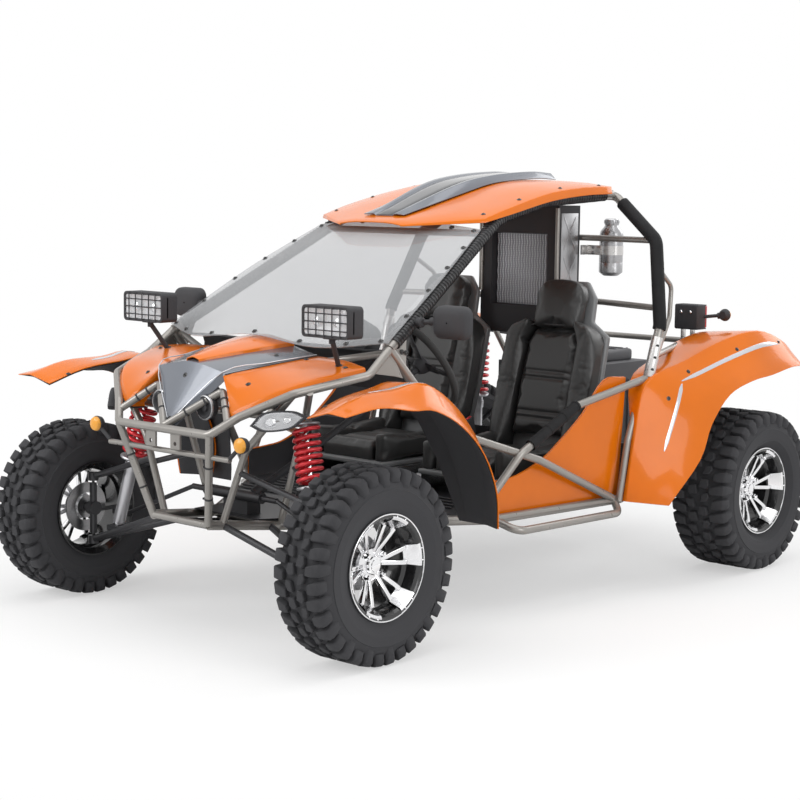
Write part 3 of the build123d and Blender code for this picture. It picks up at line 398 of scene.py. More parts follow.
ORANGE = Finish(
    "orange_plastic", (0.80, 0.178, 0.003), 0.22, coat=0.3, drift=0.05, grain=0.012, shine=0.2
)
GREY = Finish("grey_plastic", (0.17, 0.185, 0.215), 0.24, 0.35, coat=0.5, drift=0.07, grain=0.012)
SILVER_STRIPE = Finish("silver_stripe", (0.62, 0.63, 0.66), 0.25, 0.6, coat=0.4, drift=0.05)
TUBE = Finish(
    "tube_paint", (0.30, 0.285, 0.265), 0.32, 0.5, 0.25, 0.06, 7.0, 0.15, 0.05, 260.0
)
CLAMP_METAL = Brushed("clamp_metal", (0.62, 0.61, 0.6), 0.3, 0.9, drift=0.1, grain=0.0)
BLACK_SHEET = Finish(
    "black_sheet", (0.018, 0.018, 0.02), 0.42, drift=0.2, grain=0.06, shine=0.3
)
BLACK_PLASTIC = Finish(
    "black_plastic", (0.014, 0.014, 0.015), 0.5, drift=0.2, grain=0.25, shine=0.25
)
SCREW_BLACK = Finish("screw_black", (0.02, 0.02, 0.021), 0.25, coat=0.4, drift=0.2, grain=0.03)
BLACK_GLOSS = Finish("black_gloss", (0.025, 0.027, 0.032), 0.16, coat=0.6, drift=0.1, grain=0.01)
CHASSIS_BLACK = Finish(
    "chassis_black", (0.018, 0.018, 0.02), 0.36, coat=0.15, drift=0.25, grain=0.08,
    grain_scale=180, shine=0.35,
)
FOAM = Finish(
    "foam_cover", (0.016, 0.016, 0.017), 0.72, drift=0.25, grain=0.35, grain_scale=700, shine=0.2
)
WRAP = Finish("spiral_wrap", (0.02, 0.02, 0.022), 0.33, drift=0.2, grain=0.04, shine=0.4)
RUBBER = Finish(
    "tyre_rubber", (0.015, 0.0147, 0.0143), 0.55, drift=0.3, drift_scale=14, grain=0.22,
    grain_scale=420, wear=0.3, wear_colour=(0.034, 0.033, 0.031), shine=0.28,
)
GRIP = Finish("grip_rubber", (0.017, 0.017, 0.017), 0.6, drift=0.2, grain=0.3, grain_scale=800)
ALLOY = Brushed("polished_alloy", (0.83, 0.83, 0.84), 0.13, 1.0, drift=0.05, grain=0.0)
POCKET = Finish("pocket_black", (0.012, 0.012, 0.013), 0.22, coat=0.5, drift=0.2, grain=0.02)
CHROME = Finish("chrome", (0.86, 0.86, 0.87), 0.06, 1.0, drift=0.03, grain=0.0)
STEEL = Brushed("plain_steel", (0.42, 0.42, 0.43), 0.3, 0.95, drift=0.15, grain=0.0)
BOLT_METAL = Finish("bolt_metal", (0.3, 0.3, 0.31), 0.3, 0.9, drift=0.2, grain=0.05)
RED = Finish("spring_red", (0.62, 0.012, 0.016), 0.28, coat=0.5, drift=0.1, grain=0.04)
RED_LENS = Clear("red_lens", (0.62, 0.008, 0.01), 0.1, coat=0.8, drift=0.06, grain=0.0,
                 clarity=0.15)
AMBER_LENS = Clear("amber_lens", (0.86, 0.17, 0.002), 0.1, coat=0.4, drift=0.06, grain=0.6,
                   grain_scale=160, clarity=0.1, shine=0.3)
CLEAR_LENS = Clear("clear_lens", (0.9, 0.92, 0.95), 0.03, drift=0.01, grain=0.0, alpha=0.16,
                   clarity=0.0, index=2.4)
SCREEN = Clear("screen_plastic", (0.43, 0.44, 0.455), 0.04, drift=0.03, grain=0.0, alpha=0.46,
               clarity=0.0, index=1.5)
REFLECTOR = Finish("reflector", (0.9, 0.9, 0.91), 0.3, 0.15, coat=0.5, drift=0.03, grain=0.0)
SEAT_VINYL = Leather("seat_vinyl", (0.016, 0.016, 0.017), 0.36, drift=0.15, grain=0.0, shine=0.4)
PIPING = Finish("seat_piping", (0.05, 0.05, 0.053), 0.42, drift=0.1, grain=0.1)
SEAT_EDGE = Finish("seat_edge", (0.2, 0.205, 0.21), 0.4, drift=0.1, grain=0.08)
ENGINE = Finish("engine_metal", (0.09, 0.09, 0.095), 0.5, 0.5, drift=0.3, grain=0.25,
                grain_scale=120)
EXHAUST = Brushed("exhaust_metal", (0.34, 0.33, 0.32), 0.32, 0.9, drift=0.2, grain=0.0)
CORE = Finish("core_fins", (0.30, 0.30, 0.32), 0.4, 0.7, drift=0.15, grain=0.1)
GRILLE = Finish("grille_silver", (0.55, 0.55, 0.57), 0.3, 0.8, drift=0.08, grain=0.02)
DAMPER = Finish("damper_metal", (0.055, 0.055, 0.06), 0.3, 0.8, 0.2, drift=0.15, grain=0.03)
STRAP = Finish("belt_webbing", (0.02, 0.02, 0.021), 0.7, drift=0.2, grain=0.4, grain_scale=1400)


# Shapes


def turned(direction: Vector) -> Matrix:
    """Give the turn that takes +Z to a direction.

    Args:
        direction: The direction that +Z ends up along.

    Returns:
        A 4x4 rotation.
    """
    return direction.to_track_quat("Z", "Y").to_matrix().to_4x4()


def axes(first: Point, second: Point, third: Point) -> Matrix:
    """Give the turn that takes +X, +Y and +Z to three directions.

    Args:
        first: The direction that +X ends up along.
        second: The direction that +Y ends up along.
        third: The direction that +Z ends up along.

    Returns:
        A 4x4 rotation.
    """
    return Matrix((first, second, third)).transposed().to_4x4()


class Shape:
    """A mesh under construction, in the vehicle's frame."""

    def __init__(self) -> None:
        """Start an empty mesh."""
        self.mesh = bmesh.new()

    def bevel(self, edges: Iterable[bmesh.types.BMEdge], width: float, segments: int) -> None:
        """Round some edges.

        Args:
            edges: The edges to round.
            width: The rounding's width.
            segments: The rounding's steps.
        """
        bmesh.ops.bevel(
            self.mesh, geom=list(edges), offset=width, offset_type="OFFSET", affect="EDGES",
            segments=segments, profile=0.5, material=-1, clamp_overlap=True,
        )

    def edges(self, verts: Iterable[bmesh.types.BMVert]) -> list[bmesh.types.BMEdge]:
        """List the edges between some vertices.

        Args:
            verts: The vertices.

        Returns:
            Their edges.
        """
        return list({e for v in verts for e in v.link_edges})

    def block(
        self, size: Point, place: Point, turn: Matrix | None = None, round_by: float = 0.0,
        segments: int = 2,
    ) -> Shape:
        """Add a box with rounded edges.

        Args:
            size: The box's lengths.
            place: Its middle.
            turn: Its turn about its middle.
            round_by: The rounding of its edges.
            segments: The rounding's steps.

        Returns:
            This shape.
        """
        matrix = Matrix.Translation(place) @ (turn or Matrix.Identity(4))
        matrix = matrix @ Matrix.Diagonal((*size, 1))
        made = bmesh.ops.create_cube(self.mesh, size=1.0, matrix=matrix)
        if round_by > 0:
            self.bevel(self.edges(made["verts"]), round_by, segments)
        return self

    def rod(
        self, start: Point, end: Point, radius: float, end_radius: float | None = None,
        sides: int = 24, round_by: float = 0.0,
    ) -> Shape:
        """Add a round bar or cone between two places.

        Args:
            start: The middle of its first end.
            end: The middle of its last end.
            radius: Its radius at the first end.
            end_radius: Its radius at the last end, the same if left out.
            sides: Its number of sides.
            round_by: The rounding of its end edges.

        Returns:
            This shape.
        """
        first, last = Vector(start), Vector(end)
        along = last - first
        matrix = Matrix.Translation((first + last) / 2) @ turned(along)
        made = bmesh.ops.create_cone(
            self.mesh, cap_ends=True, segments=sides, radius1=radius,
            radius2=radius if end_radius is None else end_radius, depth=along.length,
            matrix=matrix,
        )
        if round_by > 0:
            rims = [
                e for e in self.edges(made["verts"])
                if any(len(f.verts) > 4 for f in e.link_faces)
            ]
            self.bevel(rims, round_by, 2)
        return self

    def lathe(
        self, profile: Sequence[Pair], place: Point, axis: Point = (1, 0, 0),
        steps: int = 64, closed: bool = False,
    ) -> Shape:
        """Add a turned form.

        Args:
            profile: Its outline, as distances along the axis and reaches from it.
            place: The axis's start.
            axis: The axis's direction.
            steps: The steps round the axis.
            closed: True where the outline's end joins its start.

        Returns:
            This shape.
        """
        along = Vector(axis).normalized()
        out = along.orthogonal().normalized()
        base = Vector(place)
        verts = [self.mesh.verts.new(base + along * a + out * r) for a, r in profile]
        pairs = list(zip(verts, verts[1:])) + ([(verts[-1], verts[0])] if closed else [])
        edges = [self.mesh.edges.new(pair) for pair in pairs]
        bmesh.ops.spin(
            self.mesh, geom=verts + edges, cent=base, axis=along, angle=math.tau, steps=steps,
            use_merge=True, use_normal_flip=False, use_duplicate=False,
        )
        bmesh.ops.remove_doubles(self.mesh, verts=self.mesh.verts, dist=1e-6)
        return self

    def plate(
        self, outline: Sequence[Pair], matrix: Matrix, depth: float,
        round_by: float = 0.0, segments: int = 2,
    ) -> Shape:
        """Add a flat plate of some outline.

        Args:
            outline: Its corners in its own plane.
            matrix: The place and turn of its plane, whose +Z is the way it thickens.
            depth: Its thickness.
            round_by: The rounding of its edges.
            segments: The rounding's steps.

        Returns:
            This shape.
        """
        verts = [self.mesh.verts.new(matrix @ Vector((x, y, 0))) for x, y in outline]
        face = self.mesh.faces.new(verts)
        made = bmesh.ops.extrude_face_region(self.mesh, geom=[face])
        moved = [g for g in made["geom"] if isinstance(g, bmesh.types.BMVert)]
        offset = matrix.to_3x3() @ Vector((0, 0, depth))
        bmesh.ops.translate(self.mesh, verts=moved, vec=offset)
        if round_by > 0:
            self.bevel(self.edges(verts + moved), round_by, segments)
        return self

    def skin(
        self, rows: Sequence[Sequence[Point]], creases: Sequence[int] = (), round_by: float = 0.0,
        ring: bool = False,
    ) -> Shape:
        """Add a sheet bridged from row to row.

        Args:
            rows: Rows of places, all of one length.
            creases: The columns that are rounded off.
            round_by: The width of their rounding.
            ring: True where each row's end joins its start.

        Returns:
            This shape.
        """
        grid = [[self.mesh.verts.new(p) for p in row] for row in rows]
        strips = [
            [self.mesh.edges.new(pair) for pair in zip(row, row[1:] + row[:1] if ring else row[1:])]
            for row in grid
        ]
        for first, second in zip(strips, strips[1:]):
            bmesh.ops.bridge_loops(self.mesh, edges=first + second)
        if round_by > 0:
            ridges = []
            for column in creases:
                pairs = [(upper[column], lower[column]) for upper, lower in zip(grid, grid[1:])]
                ridges += [self.mesh.edges.get(pair) for pair in pairs]
            self.bevel([edge for edge in ridges if edge is not None], round_by, 3)
        return self

    def aimed(self, direction: Point) -> Shape:
        """Turn an open sheet's faces towards a direction.

        Args:
            direction: The side that its faces look to.

        Returns:
            This shape.
        """
        bmesh.ops.recalc_face_normals(self.mesh, faces=self.mesh.faces)
        total = Vector((0, 0, 0))
        for face in self.mesh.faces:
            total += face.normal * face.calc_area()
        if total.dot(Vector(direction)) < 0:
            bmesh.ops.reverse_faces(self.mesh, faces=self.mesh.faces)
        return self

    def pipe(
        self, line: Sequence[Vector], radius: float, sides: int = 12, ends: bool = True
    ) -> Shape:
        """Add a round tube along a line.

        Args:
            line: Points along the line.
            radius: The tube's radius.
            sides: Its number of sides.
            ends: True to close both ends.

        Returns:
            This shape.
        """
        frame = turned(line[1] - line[0])
        before: list[bmesh.types.BMEdge] | None = None
        last = len(line) - 1
        for index, place in enumerate(line):
            ahead = line[min(index + 1, last)] - line[max(index - 1, 0)]
            turn = frame.col[2].to_3d().rotation_difference(ahead)
            frame = turn.to_matrix().to_4x4() @ frame
            made = bmesh.ops.create_circle(
                self.mesh, cap_ends=ends and index in (0, last), segments=sides, radius=radius,
                matrix=Matrix.Translation(place) @ frame,
            )
            ring = self.edges(made["verts"])
            if before is not None:
                bmesh.ops.bridge_loops(self.mesh, edges=before + ring)
            before = ring
        return self

    def repeat(self, made: Callable[[Shape], object], places: Iterable[Matrix]) -> Shape:
        """Add copies of one form at several places.

        Args:
            made: Builds the form about the origin.
            places: The places and turns.

        Returns:
            This shape.
        """
        one = Shape()
        made(one)
        model = bpy.data.meshes.new("model")
        one.mesh.to_mesh(model)
        one.mesh.free()
        for place in places:
            copy = model.copy()
            copy.transform(place)
            self.mesh.from_mesh(copy)
            bpy.data.meshes.remove(copy)
        bpy.data.meshes.remove(model)
        return self

    def mirrored(self) -> Shape:
        """Add the mirror image on the other side of the vehicle.

        Returns:
            This shape.
        """
        geometry = [*self.mesh.verts, *self.mesh.edges, *self.mesh.faces]
        copy = bmesh.ops.duplicate(self.mesh, geom=geometry)["geom"]
        verts = [g for g in copy if isinstance(g, bmesh.types.BMVert)]
        faces = [g for g in copy if isinstance(g, bmesh.types.BMFace)]
        bmesh.ops.scale(self.mesh, verts=verts, vec=(-1, 1, 1))
        bmesh.ops.reverse_faces(self.mesh, faces=faces)
        return self

    def piece(
        self, name: str, finish: Finish, slot: str | None = None, sharp: float = 32.0,
        stands_for: Sequence[str] = (), closed: bool = True, body: str = CHASSIS,
    ) -> bpy.types.Object:
        """Turn the shape into a piece of the scene that rides on a body.

        Args:
            name: The piece's name.
            finish: Its finish.
            slot: The record's material slot; not used.
            sharp: The angle, in degrees, from which an edge stays sharp.
            stands_for: The nodes that it replaces.
            closed: True where the shape is closed, so its faces are turned outwards.
            body: The body that it rides on.

        Returns:
            The object.
        """
        bmesh.ops.remove_doubles(self.mesh, verts=self.mesh.verts, dist=2e-6)
        if closed:
            bmesh.ops.recalc_face_normals(self.mesh, faces=self.mesh.faces)
        mesh = bpy.data.meshes.new(name)
        self.mesh.to_mesh(mesh)
        self.mesh.free()
        mesh.polygons.foreach_set("use_smooth", [True] * len(mesh.polygons))
        mesh.set_sharp_from_angle(angle=math.radians(sharp))
        made = bpy.data.objects.new(name, mesh)
        bpy.context.scene.collection.objects.link(made)
        mesh.materials.append(finish.material())
        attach(made, body)
        if stands_for:
            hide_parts(*stands_for)
        log.info("%s: %d faces on %s", name, len(mesh.polygons), body)
        return made

    def panel(
        self, name: str, finish: Finish, slot: str | None = None, stands_for: Sequence[str] = (),
        wall: float = PANEL_WALL, edge: float = PANEL_EDGE, sharp: float = 50.0,
    ) -> bpy.types.Object:
        """Turn an open sheet into a panel of the chassis with a wall and a rounded rim.

        Args:
            name: The piece's name.
            finish: Its finish.
            slot: The record's material slot.
            stands_for: The nodes that it replaces.
            wall: The wall's thickness, inwards.
            edge: The rounding of the rim.
            sharp: The angle, in degrees, from which an edge stays sharp.

        Returns:
            The object.
        """
        made = self.piece(name, finish, slot, sharp, stands_for, False)
        thicken(made, wall, edge)
        return made


def thicken(piece: bpy.types.Object, depth: float, edge: float) -> None:
    """Turn a sheet piece into a rounded panel with a wall.

    Args:
        piece: The sheet's object.
        depth: The wall's thickness, inwards.
        edge: The rounding of the rim.
    """
    wall = piece.modifiers.new("wall", "SOLIDIFY")
    wall.thickness = depth
    wall.offset = -1.0
    rim = piece.modifiers.new("rim", "BEVEL")
    rim.width = edge
    rim.segments = 2
    rim.limit_method = "ANGLE"
    rim.angle_limit = math.radians(60)


def bolts(
    name: str, places: Sequence[tuple[Point, Point]], radius: float = 0.006,
    finish: Finish = BOLT_METAL,
) -> bpy.types.Object:
    """Make a set of domed socket bolts with washers.

    Args:
        name: The piece's name.
        places: The seat and the outward direction of each.
        radius: The head's radius.
        finish: The heads' finish.

    Returns:
        The object.
    """
    shape = Shape()
    height = radius * 0.75
    profile = (
        (-radius * 0.5, 0.0), (-radius * 0.5, radius * 1.5), (height * 0.2, radius * 1.5),
        (height * 0.25, radius), (height * 0.8, radius * 0.85), (height, radius * 0.5),
        (height * 0.5, radius * 0.42), (height * 0.5, 0.0),
    )
    for place, axis in places:
        shape.lathe(profile, place, axis, 12)
    return shape.piece(name, finish)


def seat_on(node: str, places: Iterable[Point], aim: Point) -> list[tuple[Point, Point]]:
    """Drop places onto a node's surface along a direction.

    Args:
        node: The node or piece to land on.
        places: The places to drop from.
        aim: The direction of the drop.

    Returns:
        The landing places with their outward normals.
    """
    found = []
    bpy.context.view_layer.update()
    seen = bpy.data.objects[node].evaluated_get(bpy.context.evaluated_depsgraph_get())
    way = Vector(aim).normalized()
    for place in places:
        hit, spot, normal, *_ = seen.ray_cast(Vector(place) - way * DROP, way)
        if hit:
            if normal.dot(way) > 0:
                normal = -normal
            found.append((spot, normal))
    return found


def bent_line(points: Sequence[Point], bend: float, step: float = 0.012) -> list[Vector]:
    """Follow a bent tube's middle line, with an arc at each corner.

    Args:
        points: The line's corners.
        bend: The arcs' radius.
        step: The distance between the points returned.

    Returns:
        Points along the line.
    """
    corners = [Vector(p) for p in points]
    path = [corners[0]]
    for before, corner, after in zip(corners, corners[1:], corners[2:]):
        way_in = (corner - before).normalized()
        way_out = (after - corner).normalized()
        half = way_in.angle(way_out) / 2
        reach = min(bend * math.tan(half), (corner - before).length / 2.1,
                    (after - corner).length / 2.1)
        for number in range(9):
            share = number / 8
            start, end = corner - way_in * reach, corner + way_out * reach
            path.append(start.lerp(corner, share).lerp(corner.lerp(end, share), share))
    path.append(corners[-1])
    found = [path[0]]
    for start, end in zip(path, path[1:]):
        count = max(1, round((end - start).length / step))
        found += [start.lerp(end, (n + 1) / count) for n in range(count)]
    return [p for n, p in enumerate(found) if n == 0 or (p - found[n - 1]).length > 1e-5]


def helix_round(line: Sequence[Vector], radius: float, pitch: float, steps: int) -> list[Vector]:
    """Wind a helix round a line.

    Args:
        line: Points along the line, evenly spaced.
        radius: The helix's radius.
        pitch: The distance between turns.
        steps: The points per turn.

    Returns:
        Points along the helix.
    """
    lengths = [0.0]
    for start, end in zip(line, line[1:]):
        lengths.append(lengths[-1] + (end - start).length)
    count = int(lengths[-1] / pitch * steps)
    out = (line[1] - line[0]).orthogonal().normalized()
    found = []
    index = 0
    for number in range(count + 1):
        reach = lengths[-1] * number / count
        while index < len(line) - 2 and lengths[index + 1] < reach:
            index += 1
        along = (line[index + 1] - line[index]).normalized()
        share = (reach - lengths[index]) / max(lengths[index + 1] - lengths[index], 1e-9)
        middle = line[index].lerp(line[index + 1], min(1.0, share))
        out = (out - along * out.dot(along)).normalized()
        turn = Matrix.Rotation(math.tau * number / steps, 3, along)
        found.append(middle + turn @ out * radius)
    return found


# Wheels


@dataclass
class Wheel:
    """One alloy wheel with six forked spokes, and its knobby tyre."""

    axle: Axle
    side: Side
    middle: float
    rim_width: float
    tyre_width: float
    radius: float = 0.3098
    lip: float = 0.170
    seat: float = 0.152
    spokes: int = 6
    lugs: int = 36
    rivets: int = 12
    nuts: int = 4
    hub_depth: float = 0.070
    disc_depth: float = 0.128
    disc_wall: float = 0.0045
    disc_reach: float = 0.088
    pad_spread: float = 13.5
    spoke_turn: float = 8.0
    carcass: float = 0.2955
    lug_foot: float = 0.288
    lug_round: float = 0.0022

    @property
    def body(self) -> str:
        """Give the body that the wheel rides on."""
        return f"wheel_{self.axle.name.lower()}_{self.side.name.lower()}"

    @property
    def node_end(self) -> str:
        """Give the end of the wheel's and the tyre's node names."""
        return self.body.removeprefix("wheel_")

    @property
    def centre(self) -> Vector:
        """Give the middle of the wheel."""
        return Vector((self.side.value * self.middle, self.axle.value, AXLE_HEIGHT))

    def spot(self, out: float, reach: float, turn: float) -> Vector:
        """Give a place on the wheel.

        Args:
            out: The distance outwards from the wheel's middle plane.
            reach: The distance from the axle.
            turn: The angle about the axle, in degrees.

        Returns:
            The place.
        """
        angle = math.radians(turn)
        offset = Vector((self.side.value * out, reach * math.cos(angle), reach * math.sin(angle)))
        return self.centre + offset

    def lathe_out(self, shape: Shape, profile: Sequence[Pair], steps: int,
                  closed: bool = True) -> Shape:
        """Turn a profile about the axle.

        Args:
            shape: The shape to add to.
            profile: Distances outwards from the wheel's middle plane, and reaches.
            steps: The steps round.
            closed: True where the profile is a closed ring.

        Returns:
            The shape.
        """
        axis = (self.side.value, 0, 0)
        return shape.lathe(profile, self.centre, axis, steps, closed)

    def barrel(self) -> None:
        """Make the black barrel with its pockets, behind the polished parts."""
        half, seat, lip = self.rim_width / 2, self.seat, self.lip
        shape = Shape()
        self.lathe_out(shape, (
            (half - 0.001, lip - 0.002), (half - 0.006, lip), (half - 0.010, seat + 0.006),
            (half - 0.018, seat), (half - 0.05, seat), (half - 0.062, seat - 0.008),
            (-half + 0.06, seat - 0.008), (-half + 0.048, seat), (-half + 0.014, seat),
            (-half + 0.006, lip), (-half, lip), (-half, lip - 0.006),
            (-half + 0.02, seat - 0.006), (-half + 0.042, seat - 0.006),
            (-half + 0.054, seat - 0.014), (half - 0.068, seat - 0.014),
            (half - 0.056, seat - 0.006), (half - 0.016, seat - 0.004),
            (half - 0.006, lip - 0.016), (half - 0.0025, lip - 0.010),
        ), 96)
        shape.piece(f"barrel_{self.node_end}", POCKET, "wheel_alloy", 25,
                    [f"wheel_{self.node_end}"], body=self.body)

    def face(self) -> None:
        """Make the polished lip, spokes, pads and hub."""
        half = self.rim_width / 2
        hub = half - self.hub_depth
        shape = Shape()
        self.lathe_out(shape, (
            (half - 0.004, self.lip - 0.0006), (half, self.lip - 0.0016),
            (half + 0.0005, self.lip - 0.003), (half, self.lip - 0.0052),
            (half - 0.003, self.lip - 0.006), (half - 0.009, self.lip - 0.004),
        ), 120)
        self.lathe_out(shape, (
            (hub - 0.02, 0.016), (hub - 0.02, 0.05), (hub - 0.004, 0.054), (hub, 0.05),
            (hub + 0.003, 0.04), (hub + 0.003, 0.016),
        ), 48)
        step = 360 / self.spokes
        for number in range(self.spokes):
            turn = number * step + self.spoke_turn
            for sign in (-1, 1):
                near = self.spot(hub - 0.006, 0.04, turn + sign * 7)
                far = self.spot(half - 0.046, 0.131, turn + sign * 11)
                self.arm(shape, near, far, 0.0145, 0.017)
            self.pad(shape, turn, half)
        shape.piece(f"spokes_{self.node_end}", ALLOY, "wheel_alloy", 28, body=self.body)

    def arm(self, shape: Shape, near: Vector, far: Vector, wide: float, deep: float) -> None:
        """Add one arm of a forked spoke.

        Args:
            shape: The shape to add to.
            near: The middle of its end at the hub.
            far: The middle of its end at the pad.
            wide: Its width.
            deep: Its depth along the axle.
        """
        along = (far - near).normalized()
        out = Vector((self.side.value, 0, 0))
        across = along.cross(out).normalized()
        deep_way = across.cross(along).normalized()
        turn = axes(along, across, deep_way)
        length = (far - near).length
        shape.block((length, wide, deep), (near + far) / 2, turn, 0.0022, 2)

    def pad(self, shape: Shape, turn: float, half: float) -> None:
        """Add the wide polished pad that joins a spoke to the lip.

        Args:
            shape: The shape to add to.
            turn: The spoke's angle about the axle.
            half: Half the rim's width.
        """
        shares = (-1, -0.5, 0, 0.5, 1)
        # Columns: distance outwards, reach of the face towards the axle
        stations = ((half - 0.052, 0.126), (half - 0.040, 0.133), (half - 0.006, 0.149),
                    (half - 0.002, 0.156))
        rows = []
        for out, reach in stations:
            rows.append([self.spot(out, reach, turn + self.pad_spread * s) for s in shares])
        outer_rows = []
        for out, reach in reversed(stations):
            wall = min(self.seat - 0.007, reach + 0.012) if out < half - 0.01 else self.lip - 0.006
            outer_rows.append([self.spot(out - 0.002, wall, turn + self.pad_spread * s)
                               for s in shares])
        start = len(shape.mesh.verts)
        grid = [[shape.mesh.verts.new(p) for p in row] for row in rows + outer_rows]
        loops = []
        for row in grid:
            loops.append([shape.mesh.edges.new(pair) for pair in zip(row, row[1:])])
        for first, second in zip(loops, loops[1:] + loops[:1]):
            bmesh.ops.bridge_loops(shape.mesh, edges=first + second)
        shape.mesh.verts.ensure_lookup_table()
        made = shape.mesh.verts[start:]
        holes = [e for v in made for e in v.link_edges if e.is_boundary]
        bmesh.ops.holes_fill(shape.mesh, edges=list(set(holes)), sides=0)

    def fittings(self) -> None:
        """Make the rivets, wheel nuts, chrome cap and brake disc."""
        half = self.rim_width / 2
        hub = half - self.hub_depth
        out = (self.side.value, 0, 0)
        shape = Shape()
        rivet = ((-0.002, 0.0), (-0.002, 0.0026), (0.0008, 0.0024), (0.0016, 0.0012), (0.0018, 0.0))
        for number in range(self.rivets):
            turn = self.spoke_turn + (number // 2) * 720 / self.rivets
            turn += 7 if number % 2 else -7
            place = self.spot(half - 0.0015, self.lip - 0.009, turn)
            shape.lathe(rivet, place, out, 8)
        nut = ((0.0, 0.0), (0.0, 0.0115), (0.005, 0.0115), (0.007, 0.0095), (0.022, 0.0088),
               (0.027, 0.006), (0.0285, 0.0))
        for number in range(self.nuts):
            place = self.spot(hub - 0.002, 0.047, number * 360 / self.nuts + 45)
            shape.lathe(nut, place, out, 6)
        cap = ((-0.004, 0.0), (-0.004, 0.031), (0.012, 0.0305), (0.016, 0.028), (0.018, 0.021),
               (0.0205, 0.020), (0.022, 0.014), (0.0225, 0.0))
        shape.lathe(cap, self.spot(hub, 0, 0), out, 40)
        shape.piece(f"nuts_{self.node_end}", CHROME, "wheel_alloy", 30, body=self.body)
        disc = Shape()
        inner, reach = half - self.disc_depth, self.disc_reach
        outer = inner + self.disc_wall
        self.lathe_out(disc, ((inner, 0.05), (inner, reach), (outer, reach), (outer, 0.05)), 64)
        self.lathe_out(disc, ((inner - 0.002, 0.016), (inner - 0.002, 0.041), (hub - 0.018, 0.036),
                              (hub - 0.018, 0.016)), 40)
        disc.piece(f"brake_disc_{self.node_end}", STEEL, "wheel_alloy", body=self.body)

    def tyre(self) -> None:
        """Make the tyre: a ribbed carcass with chamfered lugs in four staggered rows."""
        half, bead = self.tyre_width / 2, self.rim_width / 2 - 0.0085
        crown = self.carcass
        outline = (
            (bead - 0.012, 0.1535), (bead - 0.002, 0.156), (bead + 0.001, 0.1725),
            (bead + 0.003, 0.180), (half - 0.006, 0.198), (half - 0.002, 0.212),
            (half - 0.0005, 0.2165), (half - 0.0012, 0.240), (half - 0.0002, 0.2425),
            (half - 0.0035, 0.245), (half - 0.008, 0.262), (half - 0.017, 0.277),
            (half * 0.80, crown - 0.008), (half * 0.55, crown - 0.003), (0.0, crown),
        )
        profile = list(outline) + [(-x, r) for x, r in reversed(outline[:-1])]
        shape = Shape()
        self.lathe_out(shape, profile, 144)
        pitch = 360 / self.lugs
        for mirror in (-1, 1):
            for first, reach, skirt in ((0, 0.41, 0.046), (1, 0.50, 0.030)):
                offset = pitch / 2 if mirror > 0 else 0.0
                shape.repeat(
                    lambda s, m=mirror, r=reach, d=skirt: self.shoulder_lug(s, m, half, r, d),
                    [self.lug_place(n * pitch + offset) for n in range(first, self.lugs, 2)],
                )
                shape.repeat(lambda s, m=mirror, f=first: self.crown_lug(s, m, half, f), [
                    self.lug_place(n * pitch + pitch / 2 - offset)
                    for n in range(first, self.lugs, 2)
                ])
        shape.piece(f"rubber_{self.node_end}", RUBBER, "tyre_rubber", 35,
                    [f"tyre_{self.node_end}"], body=self.body)

    def lug_place(self, turn: float) -> Matrix:
        """Give the place of a lug that is built on top of the tyre at the origin.

        Args:
            turn: Its angle about the axle.

        Returns:
            The place and turn.
        """
        return Matrix.Translation(self.centre) @ Matrix.Rotation(math.radians(turn), 4, "X")

    def shoulder_lug(self, shape: Shape, mirror: int, half: float, reach: float,
                     skirt: float) -> None:
        """Build one shoulder lug that wraps down onto the sidewall.

        Args:
            shape: The shape to add to.
            mirror: The side of the tyre, 1 or -1.
            half: Half the tyre's width.
            reach: The share of the half width at its inner end.
            skirt: How far it comes down the sidewall.
        """
        top = math.sqrt(self.radius**2 - 0.019**2)
        # Columns: share of the half width, top of the lug, half its length, foot's share, foot
        stations = (
            (reach, top - 0.0005, 0.013, reach, self.lug_foot),
            (0.68, top, 0.0175, 0.68, 0.286),
            (0.885, top - 0.003, 0.0185, 0.86, 0.274),
            (0.975, top - 0.015, 0.016, 0.90, 0.266),
            (0.995, top - skirt, 0.009, 0.94, 0.296 - skirt),
        )
        rings = []
        for share, peak, long, low_share, low in stations:
            slant = (share - reach) * 0.016
            corners = (
                (low_share * half, -long - 0.003 + slant, low), (share * half, -long + slant, peak),
                (share * half, long + slant, peak), (low_share * half, long + 0.003 + slant, low),
            )
            rings.append([shape.mesh.verts.new((mirror * x, y, z)) for x, y, z in corners])
        loops = [[shape.mesh.edges.new((ring[i], ring[(i + 1) % 4])) for i in range(4)]
                 for ring in rings]
        for first, second in zip(loops, loops[1:]):
            bmesh.ops.bridge_loops(shape.mesh, edges=first + second)
        shape.mesh.faces.new(rings[0])
        shape.mesh.faces.new(rings[-1])
        bmesh.ops.recalc_face_normals(shape.mesh, faces=shape.mesh.faces)
        top_edges = [
            e for e in shape.mesh.edges
            if e.calc_face_angle(0) > math.radians(35) and max(v.co.z for v in e.verts) > 0.28
        ]
        shape.bevel(top_edges, self.lug_round, 1)

    def crown_lug(self, shape: Shape, mirror: int, half: float, kind: int) -> None:
        """Build one slanted lug near the middle of the tread.

        Args:
            shape: The shape to add to.
            mirror: The side of the tyre, 1 or -1.
            half: Half the tyre's width.
            kind: 0 for the lug by the middle line, 1 for the one further out.
        """
        top = math.sqrt(self.radius**2 - 0.020**2)
        corners = (
            ((0.02, -0.015), (0.27, -0.020), (0.35, -0.008), (0.31, 0.016), (0.09, 0.019)),
            ((0.10, -0.018), (0.30, -0.016), (0.40, 0.002), (0.38, 0.018), (0.17, 0.015)),
        )[kind]
        outline = [(mirror * x * half, y) for x, y in corners]
        if mirror < 0:
            outline.reverse()
        place = Matrix.Translation((0, 0, self.lug_foot))
        shape.plate(outline, place, top - self.lug_foot, self.lug_round, 1)

    def build(self) -> None:
        """Make the whole wheel."""
        self.barrel()
        self.face()
        self.fittings()
        self.tyre()


